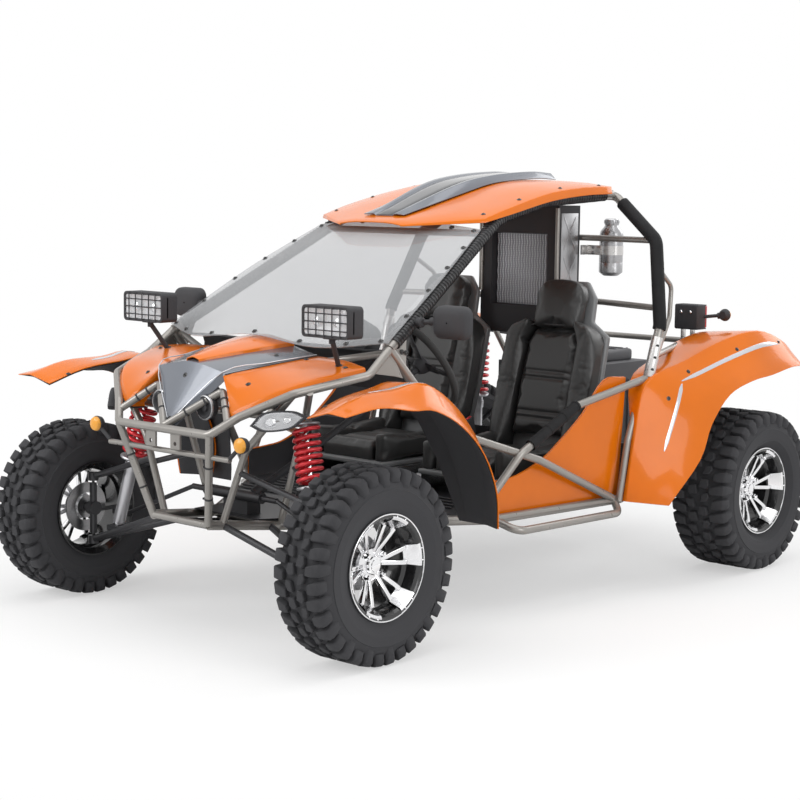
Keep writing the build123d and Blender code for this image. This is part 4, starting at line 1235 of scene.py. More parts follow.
# Body panels


def curve_through(points: Sequence[Point], count: int, breaks: Sequence[int] = ()) -> list[Vector]:
    """Read places along a smooth line that passes through the given ones.

    Args:
        points: The places that it passes through.
        count: The places read per stretch.
        breaks: The indices where the line may turn sharply.

    Returns:
        Places along the line, its ends included.
    """
    found = [Vector(points[0])]
    stops = [0, *breaks, len(points) - 1]
    for low, high in zip(stops, stops[1:]):
        run = [Vector(p) for p in points[low:high + 1]]
        held = [2 * run[0] - run[1], *run, 2 * run[-1] - run[-2]]
        for a, b, c, d in zip(held, held[1:], held[2:], held[3:]):
            for number in range(1, count + 1):
                t = number / count
                square, cube = t * t, t**3
                found.append(0.5 * (
                    2 * b + (c - a) * t + (2 * a - 5 * b + 4 * c - d) * square
                    + (3 * b - a - 3 * c + d) * cube
                ))
    return found


def filled(
    rows: Sequence[Sequence[Point]], along: int, across: int, breaks: Sequence[int] = ()
) -> list[list[Vector]]:
    """Fill a grid of places in along smooth lines.

    Args:
        rows: The rows of places.
        along: The new rows per old one.
        across: The new columns per old one.
        breaks: The columns where the rows may turn sharply.

    Returns:
        The finer grid.
    """
    columns = [curve_through(column, along) for column in zip(*rows)]
    return [curve_through(row, across, breaks) for row in zip(*columns)]


@dataclass(frozen=True)
class Station:
    """A cross-section of a fender: its angle about the axle and three places on it."""

    angle: float
    inner_x: float
    inner_reach: float
    crest_x: float
    crest_reach: float
    outer_x: float
    outer_reach: float


FRONT_STATIONS = (
    Station(112, 0.640, 0.500, 0.740, 0.528, 0.812, 0.521),
    Station(95, 0.630, 0.510, 0.740, 0.532, 0.815, 0.501),
    Station(78, 0.610, 0.540, 0.740, 0.548, 0.815, 0.489),
    Station(66, 0.600, 0.590, 0.740, 0.598, 0.815, 0.512),
    Station(50, 0.600, 0.596, 0.740, 0.604, 0.815, 0.528),
    Station(34, 0.600, 0.596, 0.740, 0.604, 0.815, 0.542),
    Station(18, 0.610, 0.590, 0.740, 0.598, 0.810, 0.548),
    Station(5, 0.640, 0.572, 0.740, 0.580, 0.800, 0.545),
)
REAR_STATIONS = (
    Station(178, 0.684, 0.712, 0.700, 0.714, 0.848, 0.652),
    Station(160, 0.684, 0.712, 0.700, 0.716, 0.852, 0.492),
    Station(143, 0.620, 0.748, 0.700, 0.752, 0.854, 0.492),
    Station(125, 0.560, 0.636, 0.715, 0.642, 0.856, 0.486),
    Station(106, 0.545, 0.602, 0.745, 0.614, 0.858, 0.458),
    Station(88, 0.545, 0.604, 0.780, 0.622, 0.860, 0.455),
    Station(72, 0.560, 0.594, 0.790, 0.606, 0.860, 0.500),
    Station(62, 0.600, 0.572, 0.795, 0.584, 0.852, 0.540),
)


@dataclass
class Fender:
    """A glossy fender over one wheel, with its stripe, its edge lip and its screws."""

    axle: Axle
    side: Side
    stations: Sequence[Station]
    crest_round: float = 0.011

    @property
    def name(self) -> str:
        """Give the node that it stands for."""
        return f"{self.axle.name.lower()}_fender_{self.side.name.lower()}"

    def place(self, angle: float, x: float, reach: float) -> Vector:
        """Give a place round the axle.

        Args:
            angle: The angle about the axle, from the rear.
            x: The distance from the vehicle's middle.
            reach: The distance from the axle.

        Returns:
            The place.
        """
        turn = math.radians(angle)
        y = self.axle.value + reach * math.cos(turn)
        return Vector((self.side.value * x, y, AXLE_HEIGHT + reach * math.sin(turn)))

    def skin(self) -> None:
        """Make the fender's skin."""
        rows = []
        for s in self.stations:
            pairs = ((s.inner_x, s.inner_reach), (s.crest_x, s.crest_reach),
                     (s.outer_x, s.outer_reach))
            rows.append([self.place(s.angle, x, reach) for x, reach in pairs])
        across = 3
        shape = Shape().skin(filled(rows, 4, across, (1,)), (across,), self.crest_round)
        shape.aimed((self.side.value * 0.5, 0, 1))
        shape.panel(f"{self.name}_skin", ORANGE, "orange_body", [self.name])

    def liner(self) -> None:
        """Make the black liner under the skin."""
        drop = 0.0065
        rows = []
        for s in self.stations:
            pairs = ((s.inner_x + 0.004, s.inner_reach), (s.crest_x - 0.02, s.crest_reach - 0.002),
                     (s.outer_x - 0.008, s.outer_reach + 0.006))
            rows.append([self.place(s.angle, x, reach - drop) for x, reach in pairs])
        shape = Shape().skin(filled(rows, 4, 3, (1,)), (3,), 0.011)
        shape.aimed((self.side.value * 0.5, 0, 1))
        shape.panel(f"{self.name}_liner", BLACK_PLASTIC, "black_plastic", (), 0.0025, 0.0008)

    def stripe(self, name: str, start: Point, end: Point, width: float) -> None:
        """Lay a silver stripe on the skin.

        Args:
            name: The stripe's name.
            start: Its first end, on the vehicle's left.
            end: Its last end, on the vehicle's left.
            width: Its width.
        """
        sign = self.side.value
        first, last = Vector((sign * start[0], *start[1:])), Vector((sign * end[0], *end[1:]))
        aim = Vector((-sign * 0.45, 0, -1)).normalized()
        across = (last - first).cross(aim).normalized() * width / 2
        rows = []
        for number in range(25):
            share = number / 24
            middle = first.lerp(last, share)
            taper = min(1.0, 0.25 + 6 * min(share, 1 - share))
            edge = [middle + across * taper * k for k in (-1, 0, 1)]
            landed = seat_on(f"{self.name}_skin", edge, aim)
            if len(landed) == len(edge):
                rows.append([Vector(p) + Vector(n) * 0.0008 for p, n in landed])
        if len(rows) > 2:
            shape = Shape().skin(rows).aimed(-aim)
            shape.panel(f"{name}_{self.name}", SILVER_STRIPE, wall=0.0012, edge=0.0003, sharp=60)

    def edge_tube(self) -> None:
        """Make the bare tube along a rear fender's front edge."""
        points = [self.place(178, 0.676, 0.724), self.place(160, 0.678, 0.724),
                  self.place(148, 0.672, 0.728), Vector((self.side.value * 0.671, 0.476, 0.775))]
        shape = Shape().pipe(bent_line(points, 0.06), 0.0125, 20)
        shape.piece(f"edge_tube_{self.name}", TUBE, "frame_paint", 40)

    def screws(self, places: Sequence[Point]) -> None:
        """Drop screws onto the skin.

        Args:
            places: Their places on the vehicle's left.
        """
        sign = self.side.value
        aim = (-sign * 0.55, 0, -1)
        spots = seat_on(f"{self.name}_skin", [(sign * x, y, z) for x, y, z in places], aim)
        bolts(f"screws_{self.name}", spots, 0.0055, SCREW_BLACK)

    def build(self) -> None:
        """Make the whole fender."""
        self.skin()
        self.liner()
        if self.axle is Axle.FRONT:
            self.stripe("stripe", (0.70, -1.02, 0.87), (0.71, -0.74, 0.83), 0.020)
            self.screws(((0.66, -1.16, 0.84), (0.66, -0.62, 0.78)))
            return
        self.edge_tube()
        self.stripe("stripe_top", (0.825, 0.605, 0.93), (0.80, 1.19, 0.86), 0.014)
        self.stripe("stripe_down", (0.825, 0.60, 0.91), (0.795, 0.475, 0.57), 0.015)
        self.screws(((0.76, 0.52, 0.72), (0.80, 0.66, 0.90), (0.80, 0.93, 0.90),
                     (0.80, 1.20, 0.88)))


@dataclass
class Hood:
    """The grey prow, the orange tongue on it and the two orange flanks."""

    def sheet(
        self, name: str, rows: Sequence[Sequence[Point]], breaks: Sequence[int], round_by: float,
        nodes: Sequence[str], both: bool = False,
    ) -> None:
        """Make one orange panel from rows of places.

        Args:
            name: The panel's name.
            rows: The rows of places.
            breaks: The columns that keep a crease.
            round_by: The crease's rounding.
            nodes: The nodes that it replaces.
            both: True to add the mirror image.
        """
        across = 4
        creases = [index * across for index in breaks]
        shape = Shape().skin(filled(rows, 5, across, breaks), creases, round_by)
        shape.aimed((0, -0.3, 1))
        if both:
            shape.mirrored()
        shape.panel(name, ORANGE, "orange_body", nodes)

    def nose(self) -> None:
        """Make the grey prow with its keel and folded edges, and a painted highlight line along
        each top edge.
        """
        # Columns: y, half width, edge height, crown height
        table = ((-1.235, 0.014, 0.712, 0.718), (-1.148, 0.158, 0.868, 0.893),
                 (-0.990, 0.204, 0.892, 0.926), (-0.812, 0.250, 0.911, 0.957))
        rows = [[(-h - 0.006, y + 0.006, e - 0.027), (-h, y, e), (0, y, c), (h, y, e),
                 (h + 0.006, y + 0.006, e - 0.027)] for y, h, e, c in table]
        columns = [curve_through(c, 1) for c in zip(*rows)]
        grid = [curve_through(row, 4, (1, 3)) for row in zip(*columns)]
        shape = Shape().skin(grid, (4, 12), 0.004).aimed((0, -0.6, 1))
        shape.panel("nose_skin", GREY, "grey_body", ["hood_nose"], sharp=24)
        # Thin silver-coloured pipes along the nose's top edges: a painted highlight line where the
        # edges catch the light.
        edge_highlights = Shape()
        for sign in (-1, 1):
            line = curve_through([(sign * h, y, e + 0.0005) for y, h, e, _ in table], 4)
            edge_highlights.pipe(line, 0.0018, 8)
        edge_highlights.piece("nose_lips", SILVER_STRIPE, None, 40)

    def tongue(self) -> None:
        """Make the orange tongue with its creases."""
        # Columns: y, half width, edge height, crown height
        table = ((-1.138, 0.030, 0.901, 0.908), (-0.990, 0.088, 0.926, 0.938),
                 (-0.812, 0.142, 0.948, 0.966))
        rows = [[(-h - 0.003, y, e - 0.014), (-h, y, e), (0, y, c), (h, y, e),
                 (h + 0.003, y, e - 0.014)] for y, h, e, c in table]
        self.sheet("tongue_skin", rows, (1, 3), 0.003, ["hood_center"])

    def flanks(self) -> None:
        """Make the two orange flanks with their black edge trim."""
        rows = [
            [(0.150, -1.118, 0.845), (0.196, -1.132, 0.785), (0.232, -1.150, 0.735)],
            [(0.164, -1.140, 0.860), (0.225, -1.172, 0.800), (0.262, -1.196, 0.752)],
            [(0.210, -0.990, 0.884), (0.330, -1.040, 0.862), (0.420, -1.085, 0.842)],
            [(0.256, -0.812, 0.908), (0.400, -0.830, 0.905), (0.520, -0.860, 0.892)],
        ]
        drop = ((0.002, 0.004, -0.016), (0.005, -0.004, -0.022), (0.012, -0.012, -0.034),
                (0.010, -0.004, -0.026))
        rows = [row + [Vector(row[-1]) + Vector(way)] for row, way in zip(rows, drop)]
        self.sheet("flank_skins", rows, (2,), 0.006, ["hood_sides"], True)
        trim = Shape()
        trim.pipe(curve_through([row[-1] for row in rows], 6), 0.0030, 8)
        trim.pipe(curve_through([row[0] for row in rows[1:]], 6), 0.0030, 8)
        trim.mirrored().piece("flank_trim", BLACK_PLASTIC, None, 40)

    def screws(self) -> None:
        """Put the black screws on the nose and flanks."""
        nose = [(0.0, -1.17, 0.90), (0.17, -0.92, 0.95), (-0.17, -0.92, 0.95)]
        spots = seat_on("nose_skin", nose, DOWN)
        flank = [(sign * x, y, 0.95) for sign in (-1, 1)
                 for x, y in ((0.26, -0.87), (0.46, -0.89), (0.25, -1.12))]
        spots += seat_on("flank_skins", flank, DOWN)
        bolts("hood_screws", spots, 0.006, SCREW_BLACK)

    def build(self) -> None:
        """Make the whole hood."""
        self.nose()
        self.tongue()
        self.flanks()
        self.screws()


@dataclass
class Roof:
    """The orange roof skin with the grey spine and its black centre."""

    def skin(self) -> None:
        """Make the orange skin with its turned-down edges and its pads."""
        # Columns: y, half width, edge height, shoulder height, crown height
        table = ((-0.300, 0.150, 1.330, 1.336, 1.344), (-0.134, 0.405, 1.348, 1.362, 1.384),
                 (0.013, 0.410, 1.378, 1.402, 1.424), (0.250, 0.402, 1.424, 1.454, 1.482),
                 (0.464, 0.398, 1.446, 1.476, 1.500), (0.630, 0.394, 1.452, 1.480, 1.498))
        rows = []
        for y, half, edge, shoulder, crown in table:
            side = [(half, y, edge), (half * 0.985, y, shoulder), (half * 0.5, y, crown)]
            rows.append([(-x, *rest) for x, *rest in side] + side[::-1])
        grid = [curve_through(c, 4, (1,)) for c in zip(*rows)]
        fine = [curve_through(row, 3, (1, 4)) for row in zip(*grid)]
        shape = Shape().skin(fine, (3, 12), 0.012).aimed(UP)
        for foot in (Vector(ROOF_SHOULDER), Vector((0.362, 0.5844, 1.4448))):
            for sign in (-1, 1):
                base = Vector((sign * foot.x, foot.y, foot.z))
                shape.rod(base + Vector((0, 0, 0.021)), base + Vector((0, 0, 0.034)),
                          0.009, sides=16)
        shape.panel("roof_skin", ORANGE, "orange_body", ["roof_panel"])

    def spine(self) -> None:
        """Make the grey spine with its raised, hollowed middle."""
        # Columns: y, outer half width, inner half width, foot height, top height
        table = ((-0.225, 0.100, 0.060, 1.371, 1.374), (0.070, 0.118, 0.090, 1.447, 1.478),
                 (0.260, 0.124, 0.096, 1.490, 1.516), (0.493, 0.126, 0.098, 1.508, 1.534),
                 (0.625, 0.126, 0.098, 1.506, 1.530))
        rows = []
        for y, outer, inner, foot, top in table:
            half = [(outer, y, foot), (inner, y, top), (inner * 0.8, y, top - 0.001),
                    (inner * 0.66, y, top - 0.007), (0.0, y, top - 0.006)]
            rows.append([(-x, *rest) for x, *rest in half[:-1]] + half[::-1])
        shape = Shape().skin(filled(rows, 5, 2, (1, 2, 3, 5, 6, 7)), (2, 4, 6, 10, 12, 14), 0.003)
        shape.aimed(UP)
        shape.panel("spine_skin", GREY, "grey_body", ["roof_scoop"])
        band = []
        for y, _, inner, _, top in table:
            side, low = inner * 0.62, top - 0.0052
            band.append([(-side, y, low), (0.0, y, top - 0.0042), (side, y, low)])
        shape = Shape().skin(filled(band, 5, 2)).aimed(UP)
        shape.panel("roof_band", BLACK_GLOSS, wall=0.0012, edge=0.0003)

    def screws(self) -> None:
        """Put the screws along the roof's edges."""
        spots = []
        for sign in (-1, 1):
            for y in (-0.10, 0.10, 0.34, 0.58):
                spots.append((sign * 0.365, y, 1.6))
        landed = seat_on("roof_skin", spots, DOWN)
        bolts("roof_screws", landed, 0.006, SCREW_BLACK)

    def build(self) -> None:
        """Make the whole roof."""
        self.skin()
        self.spine()
        self.screws()


@dataclass
class Screen:
    """The clear windscreen with its domed screws."""

    def rows(self) -> list[list[Point]]:
        """Give the screen's rows, from the hood up to the roof."""
        half_rows = (
            ((0, -0.876, 0.969), (0.300, -0.868, 0.944), (0.538, -0.776, 0.968)),
            ((0, -0.475, 1.198), (0.240, -0.470, 1.193), (0.480, -0.450, 1.162)),
            ((0, -0.170, 1.350), (0.200, -0.165, 1.344), (0.398, -0.150, 1.325)),
        )
        return [[(-x, y, z) for x, y, z in row[:0:-1]] + list(row) for row in half_rows]

    def build(self) -> None:
        """Make the screen and its screws."""
        grid = filled(self.rows(), 8, 6)
        shape = Shape().skin(grid).aimed((0, -1, 1))
        shape.panel("screen_skin", SCREEN, "clear_screen", ["windscreen"], edge=0.0008, sharp=60)
        spots = []
        for share in (0.03, 0.15, 0.32, 0.5, 0.68, 0.85, 0.97):
            spots.append(self.on_grid(grid, 0.018, share))
            spots.append(self.on_grid(grid, 0.975, share))
        for share in (0.2, 0.4, 0.6, 0.8):
            spots.append(self.on_grid(grid, share, 0.014))
            spots.append(self.on_grid(grid, share, 0.986))
        bolts("screen_screws", spots, 0.0065, SCREW_BLACK)

    def on_grid(self, grid: Sequence[Sequence[Vector]], up: float, over: float) -> tuple[
        Point, Point
    ]:
        """Give a place and its outward direction on the screen.

        Args:
            grid: The screen's grid of places.
            up: The share of the way from hood to roof.
            over: The share of the way from the vehicle's right to its left.

        Returns:
            The place and the direction.
        """
        row = min(int(up * (len(grid) - 1)), len(grid) - 2)
        column = min(int(over * (len(grid[0]) - 1)), len(grid[0]) - 2)
        up_share = up * (len(grid) - 1) - row
        over_share = over * (len(grid[0]) - 1) - column
        low = grid[row][column].lerp(grid[row][column + 1], over_share)
        high = grid[row + 1][column].lerp(grid[row + 1][column + 1], over_share)
        normal = (grid[row][column + 1] - grid[row][column]).cross(high - low).normalized()
        if normal.z < 0:
            normal = -normal
        return low.lerp(high, up_share), normal


@dataclass
class SidePanel:
    """The orange panel that stands on the sill beside the seats."""

    side: Side
    thickness: float = 0.005
    setback: float = 0.0213

    @property
    def name(self) -> str:
        """Give the node that it stands for."""
        return f"side_panel_{self.side.name.lower()}"

    def build(self) -> None:
        """Make the panel with its swept top edge and folded lip."""
        sign = self.side.value
        front, back = Vector((0.600, -0.316, 0.337)), Vector(HOOP_FOOT)
        along = (back - front).normalized()
        out = along.cross(Vector(UP))
        length, rise = (back - front).length, 0.633
        top = ((-0.06, 0.20), (0.08, 0.205), (0.22, 0.22), (0.40, 0.29), (0.53, 0.38), (0.70, 0.52),
               (0.86, 0.70), (1.03, 0.71))
        bottom = ((-0.06, 0.015), (0.10, 0.015), (0.30, 0.015), (0.45, 0.015), (0.58, 0.015),
                  (0.72, 0.015), (0.85, 0.015), (0.985, 0.015))
        # Columns: share of the way up, distance in from the plain face
        folds = ((0.0, 0.012), (0.015, 0.003), (0.05, 0.0), (0.5, 0.0), (0.955, 0.0),
                 (0.985, 0.003), (1.0, 0.010))
        rows = []
        for (low_a, low_b), (high_a, high_b) in zip(bottom, top):
            row = []
            for share, inwards in folds:
                a = (low_a + (high_a - low_a) * share) * length
                b = (low_b + (high_b - low_b) * share) * rise
                spot = front + along * a + Vector((0, 0, b))
                spot = spot + out * (self.thickness - self.setback - inwards)
                row.append((sign * spot.x, spot.y, spot.z))
            rows.append(row)
        shape = Shape().skin(filled(rows, 4, 2)).aimed((sign, 0, 0))
        shape.panel(f"{self.name}_skin", ORANGE, "orange_body", [self.name], 0.0035, 0.001)
        inwards = Vector((sign * out.x, out.y, out.z)) * -0.0048
        back = [[Vector(p) + inwards for p in row[1:-1]] for row in rows]
        lining = Shape().skin(filled(back, 4, 2)).aimed((sign, 0, 0))
        lining.panel(f"{self.name}_lining", BLACK_PLASTIC, "black_plastic", (), 0.002, 0.0006)


# Seats


@dataclass
class Pad:
    """One upholstered pad that is swollen by a cloth simulation."""

    name: str
    outline: Sequence[Pair]
    plane: Matrix
    low: float
    high: float
    voxel: float = 0.007
    most: float = 0.014
    rounding: float = 0.014
    pressure: float = 4.0
    channels: Sequence[float] = ()
    channel_half: float = 1.0
    thing: bpy.types.Object | None = field(default=None, init=False)
    start: list[Vector] = field(default_factory=list, init=False)

    def prepare(self) -> None:
        """Make the pad's plain start, evenly meshed, with its cloth."""
        shape = Shape()
        place = self.plane @ Matrix.Translation((0, 0, self.low))
        shape.plate(self.outline, place, self.high - self.low, self.rounding, 3)
        bmesh.ops.recalc_face_normals(shape.mesh, faces=shape.mesh.faces)
        mesh = bpy.data.meshes.new(self.name)
        shape.mesh.to_mesh(mesh)
        shape.mesh.free()
        made = bpy.data.objects.new(self.name, mesh)
        bpy.context.scene.collection.objects.link(made)
        grid = made.modifiers.new("grid", "REMESH")
        grid.mode = "VOXEL"
        grid.voxel_size = self.voxel
        made.data = self.result(made)
        made.modifiers.clear()
        self.start = [v.co.copy() for v in made.data.vertices]
        cloth = made.modifiers.new("cloth", "CLOTH")
        cloth.settings.quality = 4
        cloth.settings.use_pressure = True
        cloth.settings.uniform_pressure_force = self.pressure
        cloth.settings.effector_weights.gravity = 0.0
        cloth.point_cache.frame_end = CLOTH_FRAMES
        self.thing = made

    def result(self, thing: bpy.types.Object) -> bpy.types.Mesh:
        """Read an object's mesh with its modifiers.

        Args:
            thing: The object.

        Returns:
            A new mesh.
        """
        graph = bpy.context.evaluated_depsgraph_get()
        return bpy.data.meshes.new_from_object(thing.evaluated_get(graph))

    def settle(self) -> None:
        """Keep the swollen form, with each point's way capped."""
        mesh = self.result(self.thing)
        self.thing.modifiers.clear()
        self.thing.data = mesh
        for vert, before in zip(mesh.vertices, self.start):
            way = vert.co - before
            if way.length > self.most:
                vert.co = before + way.normalized() * self.most
        self.press()
        mesh.polygons.foreach_set("use_smooth", [True] * len(mesh.polygons))
        self.refine(self.thing)

    def refine(self, thing: bpy.types.Object) -> None:
        """Give a pad one level of subdivision."""
        curve = thing.modifiers.new("curve", "SUBSURF")
        curve.levels = curve.render_levels = 1

    def press(self) -> None:
        """Press the sewn channels into the pad's front."""
        back = self.plane.inverted()
        width, depth = 0.006, 0.0065
        out = self.plane.to_3x3() @ Vector(UP)
        limit = (self.low + self.high) / 2
        for vert in self.thing.data.vertices:
            spot = back @ vert.co
            if spot.z < limit:
                continue
            fall = sum(math.exp(-(((spot.y - line) / width) ** 2)) for line in self.channels)
            side = min(1.0, max(0.0, (self.channel_half - abs(spot.x)) / 0.012))
            vert.co -= out * depth * min(1.0, fall) * side

    def copy_to(self, name: str, offset: Vector) -> bpy.types.Object:
        """Copy the finished pad beside it.

        Args:
            name: The copy's name.
            offset: The way to the copy.

        Returns:
            The copy.
        """
        mesh = self.thing.data.copy()
        mesh.transform(Matrix.Translation(offset))
        made = bpy.data.objects.new(name, mesh)
        bpy.context.scene.collection.objects.link(made)
        self.refine(made)
        return made


@dataclass
class Seats:
    """The two bucket seats: shells, swollen pads, piping, rails and buckles."""

    middle_x: float = 0.292
    hip_y: float = 0.300
    hip_z: float = 0.508
    floor: float = 0.358
    lean: float = 15.0
    half: float = 0.215
    pads: list[Pad] = field(default_factory=list)

    def back_plane(self) -> Matrix:
        """Give the plane of the left seat's back: x across, y up, z forwards."""
        lean = math.radians(self.lean)
        up = Vector((0, math.sin(lean), math.cos(lean)))
        out = Vector((0, -math.cos(lean), math.sin(lean)))
        turn = axes(Vector((1, 0, 0)), up, out)
        return Matrix.Translation((self.middle_x, self.hip_y, self.hip_z)) @ turn

    def cushion_plane(self) -> Matrix:
        """Give the plane of the left seat's cushion: x across, y backwards, z up."""
        return Matrix.Translation((self.middle_x, self.hip_y, self.hip_z))

    def list_pads(self) -> None:
        """List the pads of the left seat."""
        back, cushion = self.back_plane(), self.cushion_plane()
        insert = [(-0.128, 0.03), (0.128, 0.03), (0.138, 0.22), (0.132, 0.40), (0.10, 0.455),
                  (-0.10, 0.455), (-0.132, 0.40), (-0.138, 0.22)]
        head = [(-0.100, 0.452), (0.100, 0.452), (0.106, 0.50), (0.108, 0.585), (0.088, 0.625),
                (0.055, 0.640), (-0.055, 0.640), (-0.088, 0.625), (-0.108, 0.585),
                (-0.106, 0.50)]
        wing = [(0.142, -0.02), (0.196, -0.03), (0.208, 0.10), (0.207, 0.28), (0.201, 0.42),
                (0.180, 0.452), (0.108, 0.482), (0.106, 0.462), (0.136, 0.40), (0.143, 0.22)]
        base = [(-0.140, -0.42), (0.140, -0.42), (0.146, -0.22), (0.138, -0.02), (-0.138, -0.02),
                (-0.146, -0.22)]
        thigh = [(0.150, -0.42), (0.196, -0.415), (0.205, -0.22), (0.200, -0.02), (0.150, -0.02)]
        self.pads = [
            Pad("back_insert", insert, back, -0.055, -0.004,
                channels=(0.10, 0.125, 0.255, 0.28), channel_half=0.118),
            Pad("head_rest", head, back, -0.058, 0.012),
            Pad("wing_outer", wing, back, -0.070, 0.036),
            Pad("wing_inner", [(-u, v) for u, v in reversed(wing)], back, -0.070, 0.036),
            Pad("cushion_insert", base, cushion, -0.078, -0.014,
                channels=(-0.33, -0.305, -0.20, -0.175), channel_half=0.125),
            Pad("thigh_outer", thigh, cushion, -0.078, 0.036),
            Pad("thigh_inner", [(-u, v) for u, v in reversed(thigh)], cushion, -0.078, 0.036),
        ]

    def upholster(self) -> None:
        """Swell the pads together and dress both seats."""
        self.list_pads()
        for pad in self.pads:
            pad.prepare()
        scene = bpy.context.scene
        for frame_number in range(1, CLOTH_FRAMES + 1):
            scene.frame_set(frame_number)
        for pad in self.pads:
            pad.settle()
        scene.frame_set(1)
        offset = Vector((-2 * self.middle_x, 0, 0))
        for pad in self.pads:
            base = pad.name
            right = pad.copy_to(f"{base}_right", offset)
            pad.thing.name = f"{base}_left"
            for thing, side in ((pad.thing, Side.LEFT), (right, Side.RIGHT)):
                thing.data.materials.clear()
                thing.data.materials.append(SEAT_VINYL.material())
                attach(thing, CHASSIS)
                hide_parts(f"seat_{side.name.lower()}")

    def frames(self) -> None:
        """Make the shells, rails and piping of both seats."""
        back, cushion = self.back_plane(), self.cushion_plane()
        shell = [(-0.195, -0.05), (0.195, -0.05), (0.2145, 0.22), (0.208, 0.445), (0.125, 0.497),
                 (0.119, 0.59), (0.070, 0.650), (-0.070, 0.650), (-0.119, 0.59),
                 (-0.125, 0.497), (-0.208, 0.445), (-0.2145, 0.22)]
        shape = Shape()
        shape.plate(shell, back @ Matrix.Translation((0, 0, -0.089)), 0.026, 0.009, 3)
        pan = [(-0.20, -0.428), (0.20, -0.428), (0.2145, -0.2), (0.2145, 0.0), (-0.2145, 0.0),
               (-0.2145, -0.2)]
        shape.plate(pan, cushion @ Matrix.Translation((0, 0, -0.0895)), 0.02, 0.007, 3)
        shape.mirrored().piece("seat_shells", SEAT_EDGE, None, 40)
        rails = Shape()
        for sign in (-1, 1):
            middle = (self.middle_x + sign * self.half * 0.98, self.hip_y - 0.215,
                      (self.floor + self.hip_z - 0.09) / 2 + 0.0005)
            rails.block((0.026, 0.387, 0.058), middle, None, 0.004)
        rails.mirrored().piece("seat_rails", STEEL, "chassis_black")
        piping = Shape()
        seam = [(-0.140, 0.04, -0.006), (-0.142, 0.22, -0.006), (-0.134, 0.40, -0.004),
                (-0.104, 0.458, 0.002), (0.0, 0.462, 0.004), (0.104, 0.458, 0.002),
                (0.134, 0.40, -0.004), (0.142, 0.22, -0.006), (0.140, 0.04, -0.006)]
        piping.pipe([back @ p for p in curve_through(seam, 6)], 0.0032, 8)
        low_seam = [(-0.146, -0.40, -0.008), (-0.148, -0.2, -0.008), (-0.144, -0.03, -0.008)]
        for sign in (-1, 1):
            line = [(sign * abs(u), v, w) for u, v, w in low_seam]
            piping.pipe([cushion @ p for p in curve_through(line, 5)], 0.0032, 8)
        piping.mirrored().piece("seat_piping", PIPING, None, 60)

    def buckles(self) -> None:
        """Make a belt buckle on its strap beside each seat."""
        straps, heads, buttons = Shape(), Shape(), Shape()
        for sign in (-1, 1):
            foot = Vector((sign * 0.045, 0.27, 0.372))
            head = Vector((sign * 0.055, 0.21, 0.56))
            turn = turned(head - foot)
            middle = (foot + head) / 2
            straps.block((0.004, 0.03, (head - foot).length), middle, turn, 0.001)
            heads.block((0.022, 0.05, 0.072), head, turn, 0.006, 3)
            top = head + (head - foot).normalized() * 0.034
            buttons.block((0.012, 0.032, 0.006), top, turn, 0.002)
        straps.piece("buckle_straps", STRAP)
        heads.piece("buckle_heads", BLACK_PLASTIC)
        buttons.piece("buckle_buttons", RED)

    def build(self) -> None:
        """Make both seats."""
        self.upholster()
        self.frames()
        self.buckles()


# Lamps, mirrors and horns


